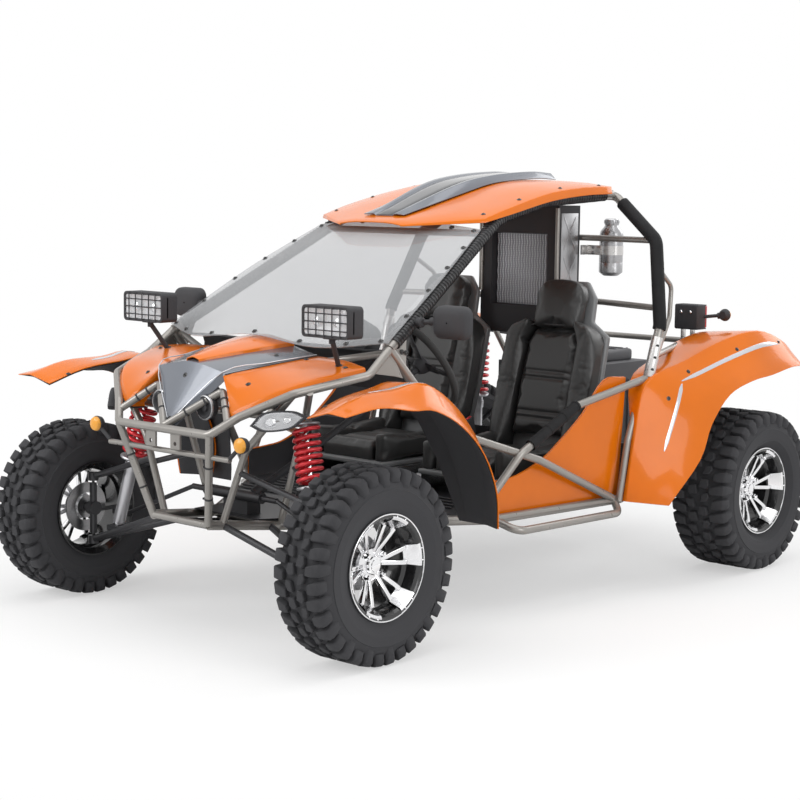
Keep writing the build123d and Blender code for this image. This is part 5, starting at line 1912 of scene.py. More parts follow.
@dataclass
class WorkLamps:
    """The two boxy lamps above the hood, with reflector, guard grid and stalk."""

    size: Point = (0.210, 0.075, 0.104)
    middle: Point = (0.451, -0.942, 1.040)
    foot: Point = (0.424, -0.882, 0.884)
    bars_up: int = 5
    bars_over: int = 3
    bar: float = 0.0042

    def housing(self) -> None:
        """Make the housings with their rims and cooling ribs."""
        wide, deep, high = self.size
        x, y, z = self.middle
        front = y - deep / 2
        shape = Shape()
        outline = self.rounded(wide, high, 0.014)
        shape.plate(outline, self.facing(x, front + 0.022, z), deep - 0.024, 0.006, 3)
        rim = self.rounded(wide, high, 0.014)
        inner = self.rounded(wide - 0.018, high - 0.018, 0.009)
        rows = [
            [self.facing(x, front + out, z) @ Vector((u, v, 0)) for u, v in line]
            for line, out in ((rim, 0.030), (rim, 0.004), (self.grown(rim, 0.99), 0.0015),
                              (self.grown(inner, 1.02), 0.0015), (inner, 0.004), (inner, 0.020))
        ]
        shape.skin(rows, ring=True)
        for number in range(6):
            spot = (x + (number - 2.5) * wide * 0.15, y + deep / 2 - 0.006, z)
            shape.block((0.004, 0.010, high * 0.8), spot, None, 0.001)
        shape.mirrored().piece("lamp_housings", BLACK_PLASTIC, "black_plastic", 40,
                               ["work_lamps"])

    def rounded(self, wide: float, high: float, corner: float) -> list[Pair]:
        """Give a rectangle with rounded corners.

        Args:
            wide: Its width.
            high: Its height.
            corner: Its corners' radius.

        Returns:
            Its outline.
        """
        found = []
        for index, (sx, sy) in enumerate(((1, 1), (-1, 1), (-1, -1), (1, -1))):
            for step in range(5):
                angle = math.radians(90 * index + 22.5 * step)
                found.append((sx * (wide / 2 - corner) + corner * math.cos(angle),
                              sy * (high / 2 - corner) + corner * math.sin(angle)))
        return found

    def grown(self, outline: Sequence[Pair], factor: float) -> list[Pair]:
        """Give an outline that is grown about its middle.

        Args:
            outline: The outline.
            factor: The factor.

        Returns:
            The new outline.
        """
        return [(u * factor, v * factor) for u, v in outline]

    def facing(self, x: float, y: float, z: float) -> Matrix:
        """Give a plane that looks forwards, thickening backwards.

        Args:
            x: Its middle's x.
            y: Its middle's y.
            z: Its middle's z.

        Returns:
            The plane.
        """
        return Matrix.Translation((x, y, z)) @ axes((-1, 0, 0), UP, BACKWARDS)

    def glass(self) -> None:
        """Make the reflectors, bulbs and lenses."""
        wide, deep, high = self.size
        x, y, z = self.middle
        front = y - deep / 2
        bowl = Shape()
        stations = ((0.99, 0.006), (0.85, 0.0145), (0.6, 0.0185), (0.3, 0.0205), (0.03, 0.021))
        rows = []
        for share, out in stations:
            line = self.rounded((wide - 0.02) * share, (high - 0.02) * share, 0.008 * share)
            place = self.facing(x, front + out, z)
            rows.append([place @ Vector((u, v, 0)) for u, v in line])
        bowl.skin(rows, ring=True).aimed(AHEAD)
        bowl.mirrored().piece("lamp_bowls", REFLECTOR, None, 40, (), False)
        bulbs = Shape()
        for u in (-0.045, 0.045):
            bulbs.lathe(((0.021, 0.0), (0.021, 0.012), (0.014, 0.016), (0.009, 0.0145),
                         (0.006, 0.008), (0.006, 0.0)), (x + u, front, z), BACKWARDS, 24)
        bulbs.mirrored().piece("lamp_bulbs", CHROME)
        lens = Shape()
        lens.plate(self.rounded(wide - 0.019, high - 0.019, 0.0085),
                   self.facing(x, front + 0.0035, z), 0.0016, 0.0004)
        lens.mirrored().piece("lamp_lenses", CLEAR_LENS, "lamp_lens", 40)

    def guard(self) -> None:
        """Make the guard grids."""
        wide, deep, high = self.size
        x, y, z = self.middle
        front = y - deep / 2 - 0.001
        shape = Shape()
        for number in range(self.bars_up):
            u = x + (number - (self.bars_up - 1) / 2) * wide / (self.bars_up + 1) * 1.02
            shape.rod((u, front, z - high * 0.46), (u, front, z + high * 0.46), self.bar / 2,
                      sides=10)
        for number in range(self.bars_over):
            v = z + (number - (self.bars_over - 1) / 2) * high / (self.bars_over + 1) * 1.02
            shape.rod((x - wide * 0.475, front + 0.0012, v), (x + wide * 0.475, front + 0.0012, v),
                      self.bar / 2, sides=10)
        shape.mirrored().piece("lamp_guards", BLACK_PLASTIC, "black_plastic", 40)

    def stalk(self) -> None:
        """Make the stalks with their brackets, nuts and feet."""
        high = self.size[2]
        x, y, z = self.middle
        shape = Shape()
        low = Vector((x, y, z - high / 2))
        foot = Vector(self.foot)
        shape.rod(foot, low - Vector((0, 0, 0.008)), 0.0085, sides=20)
        shape.rod(foot, foot.lerp(low, 0.09), 0.016, 0.012, sides=24, round_by=0.002)
        shape.block((0.06, 0.026, 0.004), (x, y, z - high / 2 - 0.003), None, 0.001)
        for sign in (-1, 1):
            shape.block((0.004, 0.026, 0.020), (x + sign * 0.028, y, z - high / 2 + 0.006), None,
                        0.001)
        shape.rod((x - 0.036, y, z - high / 2 + 0.009), (x + 0.036, y, z - high / 2 + 0.009), 0.004,
                  sides=6)
        shape.rod(low - Vector((0, 0, 0.02)), low - Vector((0, 0, 0.004)), 0.011,
                  sides=6, round_by=0.001)
        shape.mirrored().piece("lamp_stalks", BLACK_PLASTIC, "black_plastic")

    def build(self) -> None:
        """Make both lamps."""
        self.housing()
        self.glass()
        self.guard()
        self.stalk()


@dataclass
class HeadLamps:
    """The eye-shaped headlamps under the side rails."""

    middle: Point = (0.400, -1.135, 0.730)
    outline: Sequence[Pair] = (
        (-0.080, -0.004), (-0.034, 0.030), (0.050, 0.026), (0.092, 0.004), (0.040, -0.026),
        (-0.040, -0.026),
    )

    def plane(self) -> Matrix:
        """Give the lamp's plane, whose +Z looks out of the lamp."""
        across = Vector((0.72, 0.69, 0.12)).normalized()
        out = Vector((0.66, -0.72, 0.1)).normalized()
        up = out.cross(across).normalized()
        turn = axes(across, up, out)
        return Matrix.Translation(self.middle) @ turn

    def eyes(self, stations: Sequence[Pair]) -> list[list[Vector]]:
        """Give the eye's outline in several sizes.

        Args:
            stations: Each outline's size and its distance out of the lamp's plane.

        Returns:
            The rows of places.
        """
        plane, rows = self.plane(), []
        for factor, out in stations:
            ring = [(u * factor, v * factor, 0.0) for u, v in self.outline]
            line = curve_through(ring + ring[:1], 6, (3,))[:-1]
            rows.append([plane @ Vector((p.x, p.y, out)) for p in line])
        return rows

    def build(self) -> None:
        """Make the housings, reflectors, projectors and lenses."""
        plane = self.plane()
        housing, bowl, lens, parts = Shape(), Shape(), Shape(), Shape()
        out = plane.to_3x3() @ Vector(UP)
        rims = ((0.94, -0.029), (1.0, -0.02), (1.08, 0.010), (1.08, 0.019), (1.03, 0.024),
                (0.92, 0.023), (0.86, 0.012))
        housing.skin(self.eyes(rims), ring=True)
        housing.mirrored().piece("headlamp_housings", BLACK_PLASTIC, "black_plastic", 40,
                                 ["headlamps"])
        bowl_rows = self.eyes(((0.87, 0.016), (0.7, 0.0), (0.4, -0.008), (0.1, -0.01)))
        bowl.skin(bowl_rows, ring=True).aimed(out)
        bowl.mirrored().piece("headlamp_bowls", REFLECTOR, None, 40, (), False)
        for u, reach in ((-0.022, 0.019), (0.034, 0.015)):
            place = plane @ Vector((u, 0.0, -0.008))
            parts.lathe(((0.0, reach), (0.014, reach * 0.95), (0.016, reach * 0.8),
                         (0.019, reach * 0.5), (0.020, 0.0)), place, out, 28)
        parts.mirrored().piece("headlamp_bulbs", CHROME)
        domes = ((0.95, 0.0225), (0.85, 0.0265), (0.6, 0.0285), (0.3, 0.0292), (0.02, 0.0293))
        lens.skin(self.eyes(domes), ring=True).aimed(out).mirrored()
        lens.panel("headlamp_lenses", CLEAR_LENS, "lamp_lens", (), 0.0012, 0.0002, 60)


@dataclass
class Signals:
    """The amber lamps on stalks, two in front and two behind."""

    front: Point = (0.361, -1.250, 0.660)
    rear: Point = (0.600, 1.123, 0.979)

    def lamp(self, cases: Shape, lenses: Shape, place: Point, radius: float, length: float,
             way: int) -> None:
        """Add one lamp.

        Args:
            cases: The shape of the cases.
            lenses: The shape of the lenses.
            place: The lamp's middle.
            radius: Its radius.
            length: Its length.
            way: The way that it looks along Y, 1 or -1.
        """
        half = length / 2
        cases.lathe(((-half, 0.0), (-half, radius * 0.62), (-half * 0.7, radius * 0.86),
                     (-half * 0.1, radius), (half * 0.15, radius), (half * 0.2, radius * 0.94),
                     (half * 0.2, 0.0)), place, (0, way, 0), 40)
        lenses.lathe(((half * 0.1, radius * 0.93), (half * 0.45, radius * 0.92),
                      (half * 0.75, radius * 0.8), (half * 0.94, radius * 0.5),
                      (half, radius * 0.2), (half, 0.0)), place, (0, way, 0), 14)

    def build(self) -> None:
        """Make the lamps and their stalks."""
        cases, lenses, stalks = Shape(), Shape(), Shape()
        self.lamp(cases, lenses, self.front, 0.0265, 0.040, -1)
        self.lamp(cases, lenses, self.rear, 0.0245, 0.036, 1)
        stalks.rod((0.300, -1.243, 0.612), self.front, 0.007, sides=16)
        stalks.rod((0.344, -1.248, 0.646), self.front, 0.0125, sides=20, round_by=0.002)
        stalks.rod((0.515, 1.093, 0.968), self.rear, 0.007, sides=16)
        stalks.rod((0.572, 1.113, 0.974), self.rear, 0.0125, sides=20, round_by=0.002)
        cases.mirrored().piece("signal_cases", BLACK_PLASTIC, "black_plastic", 35,
                               ["signal_lamps"])
        lenses.mirrored().piece("signal_lenses", AMBER_LENS, "amber_lens", 20)
        stalks.mirrored().piece("signal_stalks", BLACK_PLASTIC, "black_plastic")


@dataclass
class TailLamps:
    """The square tail lamps with red lenses and two bright studs each."""

    middle: Point = (0.470, 1.080, 0.968)
    size: Point = (0.110, 0.080, 0.100)

    def build(self) -> None:
        """Make the boxes, lenses, studs and feet."""
        x, y, z = self.middle
        wide, deep, high = self.size
        boxes, lenses, studs, feet = Shape(), Shape(), Shape(), Shape()
        boxes.block((wide, deep - 0.018, high), (x, y - 0.009, z), None, 0.007, 3)
        for sign in (-1, 1):
            boxes.block((wide, 0.006, 0.004), (x, y + deep / 2 - 0.017, z + sign * high * 0.47),
                        None, 0.001)
            feet.block((0.006, 0.03, 0.056), (x + sign * 0.022, y - 0.02, z - 0.063), None, 0.0015)
        lenses.block((wide * 0.93, 0.018, high * 0.92), (x, y + deep / 2 - 0.0095, z), None, 0.007,
                     3)
        for u in (-0.022, 0.022):
            studs.lathe(((0.0, 0.0065), (0.003, 0.0065), (0.005, 0.005), (0.0058, 0.0)),
                        (x + u, y - deep / 2, z + 0.02), AHEAD, 12)
        feet.block((0.056, 0.03, 0.005), (x, y - 0.02, z - 0.0895), None, 0.001)
        boxes.mirrored().piece("tail_boxes", BLACK_PLASTIC, "black_plastic", 35,
                               ["tail_lamps"])
        lenses.mirrored().piece("tail_lenses", RED_LENS, None, 35)
        studs.mirrored().piece("tail_studs", CHROME)
        feet.mirrored().piece("tail_feet", CLAMP_METAL)


@dataclass
class Mirrors:
    """The rounded mirrors on arms from the pillars."""

    middle: Point = (0.650, -0.594, 1.031)
    size: Pair = (0.150, 0.110)
    foot: Point = (0.528, -0.616, 1.027)

    def build(self) -> None:
        """Make the shells, glasses and arms."""
        x, y, z = self.middle
        wide, high = self.size
        outline = WorkLamps().rounded(wide, high, 0.032)
        shells, glasses, arms = Shape(), Shape(), Shape()
        stations = ((0.94, 0.018), (0.95, 0.0225), (1.0, 0.0225), (1.0, 0.010), (0.985, 0.0),
                    (0.93, -0.010), (0.80, -0.018), (0.5, -0.0215), (0.04, -0.0224))
        rows = [[(x + u * factor, y + out, z + v * factor) for u, v in outline]
                for factor, out in stations]
        shells.skin(rows, ring=True)
        shells.mirrored().piece("mirror_shells", BLACK_PLASTIC, "black_plastic", 35,
                                ["mirrors"])
        flat = [(u * 0.945, v * 0.945) for u, v in outline]
        place = Matrix.Translation((x, y + 0.0185, z)) @ axes((1, 0, 0), UP, AHEAD)
        glasses.plate(flat, place, -0.0015, 0.0003)
        glasses.mirrored().piece("mirror_glasses", CHROME, None, 35)
        arms.rod(self.foot, (x - wide * 0.42, y, z), 0.0085, sides=18)
        arms.lathe(((0.0, 0.0), (0.0, 0.014), (0.018, 0.0125), (0.022, 0.009)),
                   (x - wide * 0.56, y - 0.002, z), (1, 0, 0), 24)
        arms.lathe(((-0.004, 0.0), (-0.004, 0.017), (0.016, 0.017), (0.020, 0.012), (0.020, 0.0)),
                   self.foot, (1, 0, 0), 24)
        arms.mirrored().piece("mirror_arms", BLACK_PLASTIC, "black_plastic", 35)


@dataclass
class Horns:
    """The two round horns inside the nose."""

    middle: Point = (0.110, -1.165, 0.752)
    top: Point = (0.150, -1.142, 0.801)

    def build(self) -> None:
        """Make the horns with their rims, throats and stems."""
        shape, rims = Shape(), Shape()
        shape.lathe(((-0.022, 0.0), (-0.022, 0.020), (-0.012, 0.034), (0.004, 0.040),
                     (0.014, 0.041), (0.020, 0.038), (0.021, 0.030), (0.013, 0.022),
                     (0.013, 0.014), (0.020, 0.011), (0.0218, 0.0)), self.middle, AHEAD, 48)
        rims.lathe(((0.014, 0.0405), (0.014, 0.0415), (0.0195, 0.0405), (0.0215, 0.037),
                    (0.0205, 0.036)), self.middle, AHEAD, 48, True)
        shape.rod(self.middle, self.top, 0.006, sides=14)
        shape.mirrored().piece("horn_bodies", BLACK_PLASTIC, "horn_black", 30, ["horns"])
        rims.mirrored().piece("horn_rims", STEEL)


# Springs, tube covers and fittings


@dataclass
class CoilOver:
    """A damper with its coil spring, on both sides of the vehicle."""

    name: str
    top: Point
    foot: Point
    split: float = 0.54
    wire: float = 0.0072
    coil: float = 0.040
    turns: int = 8
    body: float = 0.022
    rod: float = 0.009

    def build(self) -> None:
        """Make the dampers and springs."""
        top, foot = Vector(self.top), Vector(self.foot)
        line = (top - foot).normalized()
        split = foot.lerp(top, self.split)
        high = top - line * 0.022
        parts, rods = Shape(), Shape()
        parts.rod(foot + line * 0.012, split, self.body, sides=36, round_by=0.002)
        parts.rod(foot.lerp(split, 0.80), foot.lerp(split, 0.90), self.body + 0.004,
                  sides=36, round_by=0.001)
        parts.lathe(((-0.008, 0.0), (-0.008, 0.047), (-0.004, 0.048), (0.0, 0.046), (0.001, 0.03),
                     (0.001, 0.0)), split, line, 40)
        parts.lathe(((0.0, 0.0), (0.0, 0.03), (0.002, 0.046), (0.006, 0.048), (0.009, 0.044),
                     (0.013, 0.024), (0.020, 0.018), (0.020, 0.0)), high, line, 40)
        for place, reach in ((foot + line * 0.004, 0.014), (top, 0.013)):
            parts.rod(place - Vector((0, 0.016, 0)), place + Vector((0, 0.016, 0)),
                      reach, sides=28, round_by=0.002)
        rods.rod(split, top, self.rod, sides=28)
        for place in (foot + line * 0.004, top):
            rods.rod(place - Vector((0, 0.021, 0)), place + Vector((0, 0.021, 0)),
                     0.006, sides=6)
        parts.mirrored().piece(f"{self.name}_damper_bodies", DAMPER, "damper_metal", 35,
                               [f"{self.name}_shocks"])
        rods.mirrored().piece(f"{self.name}_damper_rods", CHROME)
        self.spring(split + line * (self.wire + 0.0005), high - line * (self.wire + 0.0005), line)

    def spring(self, low: Vector, high: Vector, line: Vector) -> None:
        """Make the springs.

        Args:
            low: The middle of the coil's first turn.
            high: The middle of its last turn.
            line: The damper's direction.
        """
        out = line.orthogonal().normalized()
        steps = 26
        count = self.turns * steps
        points = []
        for number in range(count + 1):
            share = number / count
            eased = share + 0.022 * math.sin(math.tau * share)
            turn = Matrix.Rotation(math.tau * self.turns * share, 3, line)
            points.append(low.lerp(high, min(1.0, max(0.0, eased))) + turn @ out * self.coil)
        shape = Shape().pipe(points, self.wire, 12).mirrored()
        shape.piece(f"{self.name}_coils", RED, "spring_red", 60, [f"{self.name}_springs"])


@dataclass
class PillarWrap:
    """The black spiral wrap on the pillars and roof rails."""

    radius: float = 0.0205
    rib: float = 0.0029
    pitch: float = 0.0155
    bend: float = 0.3

    def build(self) -> None:
        """Make the sleeve and its spiral rib."""
        foot, knee = Vector(PILLAR_FOOT), Vector(PILLAR_KNEE)
        shoulder, rear = Vector(ROOF_SHOULDER), Vector((0.362, 0.668, 1.450))
        points = [foot.lerp(knee, 0.04), knee, shoulder, rear.lerp(shoulder, 0.12)]
        line = bent_line(points, self.bend)
        shape = Shape()
        shape.pipe(line, self.radius, 20)
        shape.pipe(helix_round(line, self.radius, self.pitch, 12), self.rib, 6)
        shape.mirrored().piece("spiral_wraps", WRAP, "foam_wrap", 50, ["pillar_wraps"])


@dataclass
class Radiator:
    """The radiator's louvred grille, its header tubes and the bright plate beside it."""

    louvres: int = 21
    wave: float = 0.0016

    def build(self) -> None:
        """Make the louvres, frame and plate."""
        low, high = (Vector(p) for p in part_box("radiator_core"))
        shape = Shape()
        width = high.x - low.x
        step = width / self.louvres
        for number in range(self.louvres):
            x = low.x + step * (number + 0.5)
            line = []
            for k in range(37):
                z = low.z + 0.004 + (high.z - low.z - 0.008) * k / 36
                line.append(Vector((x + self.wave * math.sin(k * math.tau / 6), low.y + 0.006, z)))
            shape.pipe(line, step * 0.27, 8)
        shape.piece("grille_louvres", GRILLE, "core_metal", 50, ["radiator_core"])
        core = Shape()
        core.block((width - 0.002, (high.y - low.y) * 0.7, high.z - low.z - 0.002),
                   (low + high) / 2 + Vector((0, 0.004, 0)), None, 0.002)
        fins = 40
        for number in range(fins):
            z = low.z + (high.z - low.z) * (number + 0.5) / fins
            core.block((width - 0.006, high.y - low.y - 0.003, 0.0016),
                       (0, (low.y + high.y) / 2, z))
        core.piece("radiator_fins", CORE)
        self.side_plates()

    def side_plates(self) -> None:
        """Make the embossed bright plates and the tubes on the shroud's sides."""
        low, high = (Vector(p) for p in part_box("radiator_shroud"))
        x, tall, deep = high.x, (high.z - low.z) * 0.62, (high.y - low.y) * 0.8
        y, z = (low.y + high.y) / 2, high.z - 0.03 - tall / 2
        plates, tubes = Shape(), Shape()
        plates.block((0.003, deep, tall), (x + 0.0005, y, z), None, 0.001)
        for share in (-0.25, 0.25):
            for sign in (-1, 1):
                tilt = Matrix.Rotation(sign * math.atan2(deep * 0.7, tall * 0.4), 4, "X")
                plates.block((0.004, 0.007, math.hypot(deep * 0.7, tall * 0.4)),
                             (x + 0.0015, y, z + share * tall), tilt, 0.0015)
        plates.mirrored().piece("shroud_plates", STEEL)
        ends = [(x - 0.004, low.y - 0.004, up) for up in (z - tall / 2, high.z - 0.01)]
        tubes.rod(*ends, 0.0085, sides=20)
        tubes.mirrored().piece("shroud_tubes", TUBE, "frame_paint")


@dataclass
class Bottle:
    """The polished bottle behind the seats, with its cap, band and bracket."""

    middle: Point = (0.290, 0.774, 1.232)
    radius: float = 0.0465
    height: float = 0.200

    def build(self) -> None:
        """Make the bottle."""
        half, reach = self.height / 2, self.radius
        shape = Shape()
        shape.lathe(((-half, 0.0), (-half, 0.028), (-half + 0.004, 0.034), (-half + 0.014, reach),
                     (-half + 0.05, reach), (-half + 0.052, reach - 0.001), (-half + 0.056, reach),
                     (half - 0.04, reach), (half - 0.026, reach - 0.003), (half - 0.010, 0.030),
                     (half - 0.001, 0.026), (half, 0.0)), self.middle, UP, 56)
        shape.piece("bottle", STEEL, "polished_metal", 30, ["coolant_bottle"])
        cap = Shape()
        cap.lathe(((half - 0.002, 0.0), (half - 0.002, 0.027), (half + 0.004, 0.029),
                   (half + 0.018, 0.028), (half + 0.023, 0.023), (half + 0.0245, 0.0)),
                  self.middle, UP, 40)
        for number in range(18):
            angle = math.tau * number / 18
            place = (self.middle[0] + 0.0285 * math.cos(angle),
                     self.middle[1] + 0.0285 * math.sin(angle), self.middle[2] + half + 0.011)
            cap.block((0.003, 0.003, 0.012), place, Matrix.Rotation(angle, 4, "Z"), 0.0007)
        cap.piece("bottle_cap", STEEL, None, 30)
        hold = Shape()
        x, y, z = self.middle
        hold.lathe(((-0.018, reach), (-0.018, reach + 0.0016), (0.018, reach + 0.0016),
                    (0.018, reach)), self.middle, UP, 48, True)
        hold.block((0.078, 0.006, 0.038), (x - reach * 1.2, y - reach * 0.98, z), None, 0.0015)
        hold.block((0.010, 0.050, 0.038), (x - reach * 1.2 - 0.028, y - reach * 0.98 - 0.012, z),
                   None, 0.0015)
        hold.piece("bottle_bracket", CLAMP_METAL)
        seats = [((x - reach * 1.2 + 0.004, y - reach * 0.98 - 0.003, z + up), AHEAD)
                 for up in (-0.011, 0.011)]
        bolts("bottle_bolts", seats, 0.0045)


@dataclass
class SteeringWheel:
    """The padded steering wheel with its spokes, hub and column."""

    top: Point = (0.292, -0.330, 0.850)
    foot: Point = (0.112, -0.936, 0.458)
    rim: float = 0.165
    tube: float = 0.0128
    body: str = "steering_wheel"

    def build(self) -> None:
        """Make the rim, stitches, spokes, hub and column."""
        top, foot = Vector(self.top), Vector(self.foot)
        line = (top - foot).normalized()
        across = Vector((1, 0, 0))
        across = (across - line * across.dot(line)).normalized()
        up = line.cross(across)
        plane = Matrix.Translation(top) @ axes(across, up, line)
        rim = Shape()
        circle = []
        for number in range(12):
            angle = math.tau * number / 12
            circle.append((self.tube * math.sin(angle), self.rim + self.tube * math.cos(angle)))
        rim.lathe(circle, self.top, line, 96, True)
        rim.piece("wheel_rim", GRIP, "grip_rubber", 50, ["steering_wheel"], body=self.body)
        seams = Shape()
        for number in range(72):
            angle = math.tau * number / 72
            reach = self.rim - self.tube * 0.98
            place = plane @ Vector((reach * math.cos(angle), reach * math.sin(angle), 0))
            turn = plane.to_3x3().to_4x4() @ Matrix.Rotation(angle, 4, "Z")
            turn = turn @ Matrix.Rotation(0.6, 4, "X")
            seams.block((0.0012, 0.0016, 0.009), place, turn, 0.0004)
        seams.piece("wheel_stitches", PIPING, body=self.body)
        arms = Shape()
        for degrees in (0, 180, 270):
            angle = math.radians(degrees)
            turn = plane.to_3x3().to_4x4() @ Matrix.Rotation(angle, 4, "Z")
            for reach, wide, length in ((0.055, 0.034, 0.07), (0.118, 0.024, 0.085)):
                place = plane @ Vector((reach * math.cos(angle), reach * math.sin(angle), -0.001))
                arms.block((length, wide, 0.0045), place, turn, 0.0015)
        arms.piece("wheel_arms", BLACK_SHEET, body=self.body)
        hub = Shape()
        hub.lathe(((-0.030, 0.0), (-0.030, 0.020), (-0.012, 0.030), (0.006, 0.034), (0.013, 0.031),
                   (0.0155, 0.022), (0.016, 0.0)), self.top, line, 40)
        hub.rod(self.foot, top - line * 0.02, 0.0118, sides=24)
        hub.rod(foot.lerp(top, 0.45), foot.lerp(top, 0.52), 0.0118, sides=6)
        hub.piece("wheel_hub", BLACK_PLASTIC, body=self.body)


@dataclass
class Dashboard:
    """The instrument pod's face, its dial marks and the switches on the panel."""

    middle: Point = (0.292, -0.655, 0.948)
    tilt: float = 65.0
    radius: float = 0.075

    def build(self) -> None:
        """Make the dial and the switches."""
        tilt = math.radians(self.tilt)
        out = Vector((0, math.sin(tilt), -math.cos(tilt)))
        face = Vector(self.middle) + out * 0.030
        ring, dial, marks = Shape(), Shape(), Shape()
        ring.lathe(((-0.006, self.radius * 0.90), (0.0006, self.radius * 0.90),
                    (0.003, self.radius * 0.94), (0.0022, self.radius * 0.985),
                    (-0.006, self.radius * 0.985)), face, out, 64, True)
        dial.lathe(((0.0, self.radius * 0.9), (0.0008, 0.0)), face, out, 64)
        across = Vector((1, 0, 0))
        up = out.cross(across)
        for number in range(25):
            angle = math.radians(-30 + number * 10)
            reach = self.radius * 0.78
            way = across * math.cos(angle) + up * math.sin(angle) * -1
            turn = axes(way, way.cross(out) * -1, out)
            length = 0.010 if number % 4 == 0 else 0.005
            marks.block((length, 0.0014, 0.0008), face + way * reach + out * 0.001, turn)
        way = (across * 0.5 - up * 0.87).normalized()
        turn = axes(way, way.cross(out) * -1, out)
        marks.block((0.055, 0.0022, 0.001), face + way * 0.022 + out * 0.003, turn, 0.0003)
        ring.piece("dial_ring", CHROME)
        dial.piece("dial_face", BLACK_GLOSS, None, 50)
        marks.piece("dial_marks", SILVER_STRIPE)
        switches, keys = Shape(), Shape()
        for number in range(4):
            x = 0.06 - number * 0.055
            switches.block((0.030, 0.006, 0.018), (x, -0.636, 0.855), None, 0.0015)
            tilted = Matrix.Rotation(math.radians(14 if number % 2 else -14), 4, "X")
            switches.block((0.022, 0.006, 0.012), (x, -0.633, 0.855), tilted, 0.0015)
        keys.lathe(((0.0, 0.0), (0.0, 0.012), (0.006, 0.0115), (0.007, 0.008), (0.007, 0.0)),
                   (0.40, -0.640, 0.850), BACKWARDS, 28)
        keys.block((0.002, 0.006, 0.013), (0.40, -0.634, 0.850), None, 0.0005)
        switches.piece("dash_switches", BLACK_GLOSS)
        keys.piece("dash_key", CHROME)


@dataclass
class EngineDress:
    """What shows on the engine: covers, fins, pulley, filter and the silencer's straps."""

    low: Point = (-0.210, 0.700, 0.388)
    high: Point = (0.210, 1.180, 0.768)

    def build(self) -> None:
        """Make the engine's covers and fittings."""
        covers, metal = Shape(), Shape()
        top = self.high[2]
        covers.block((0.26, 0.40, 0.05), (0.02, 0.94, top + 0.022), None, 0.014, 3)
        for number in range(7):
            y = 0.79 + number * 0.05
            covers.block((0.225, 0.012, 0.008), (0.02, y, top + 0.048), None, 0.003)
        for sign in (-1, 1):
            for number in range(11):
                y = 0.745 + number * 0.040
                covers.block((0.007, 0.008, 0.26), (sign * 0.2125, y, 0.570), None, 0.002)
        for number in range(9):
            x = -0.16 + number * 0.04
            covers.block((0.009, 0.007, 0.25), (x, self.high[1] + 0.0025, 0.565), None, 0.002)
            covers.block((0.009, 0.007, 0.25), (x, self.low[1] - 0.0025, 0.565), None, 0.002)
        metal.lathe(((0.0, 0.0), (0.0, 0.07), (0.010, 0.07), (0.014, 0.062), (0.014, 0.03),
                     (0.020, 0.022), (0.020, 0.0)), (-0.06, 1.180, 0.50), BACKWARDS, 40)
        metal.lathe(((0.0, 0.0), (0.0, 0.045), (0.055, 0.045), (0.060, 0.038), (0.060, 0.0)),
                    (-0.205, 0.86, 0.47), (-1, 0, 0), 32)
        metal.lathe(((0.0, 0.0), (0.0, 0.050), (0.09, 0.050), (0.10, 0.042), (0.10, 0.0)),
                    (0.115, 0.83, top + 0.020), UP, 36)
        covers.piece("engine_covers", ENGINE)
        metal.piece("engine_metal_parts", STEEL)
        spots = [((-0.095 + 0.23 * a, 0.765 + 0.35 * b, top + 0.046), UP)
                 for a in (0, 1) for b in (0, 0.5, 1)]
        bolts("engine_bolts", spots, 0.006)
        straps = Shape()
        low, high = (Vector(p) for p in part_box("muffler"))
        reach = 0.0708
        middle_y, middle_z = high.y - 0.070, low.z + 0.070
        for x in (-0.13, 0.13):
            straps.lathe(((-0.012, reach - 0.0005), (-0.012, reach + 0.0012),
                          (0.012, reach + 0.0012), (0.012, reach - 0.0005)),
                         (x, middle_y, middle_z), (1, 0, 0), 48, True)
        straps.piece("muffler_straps", STEEL)


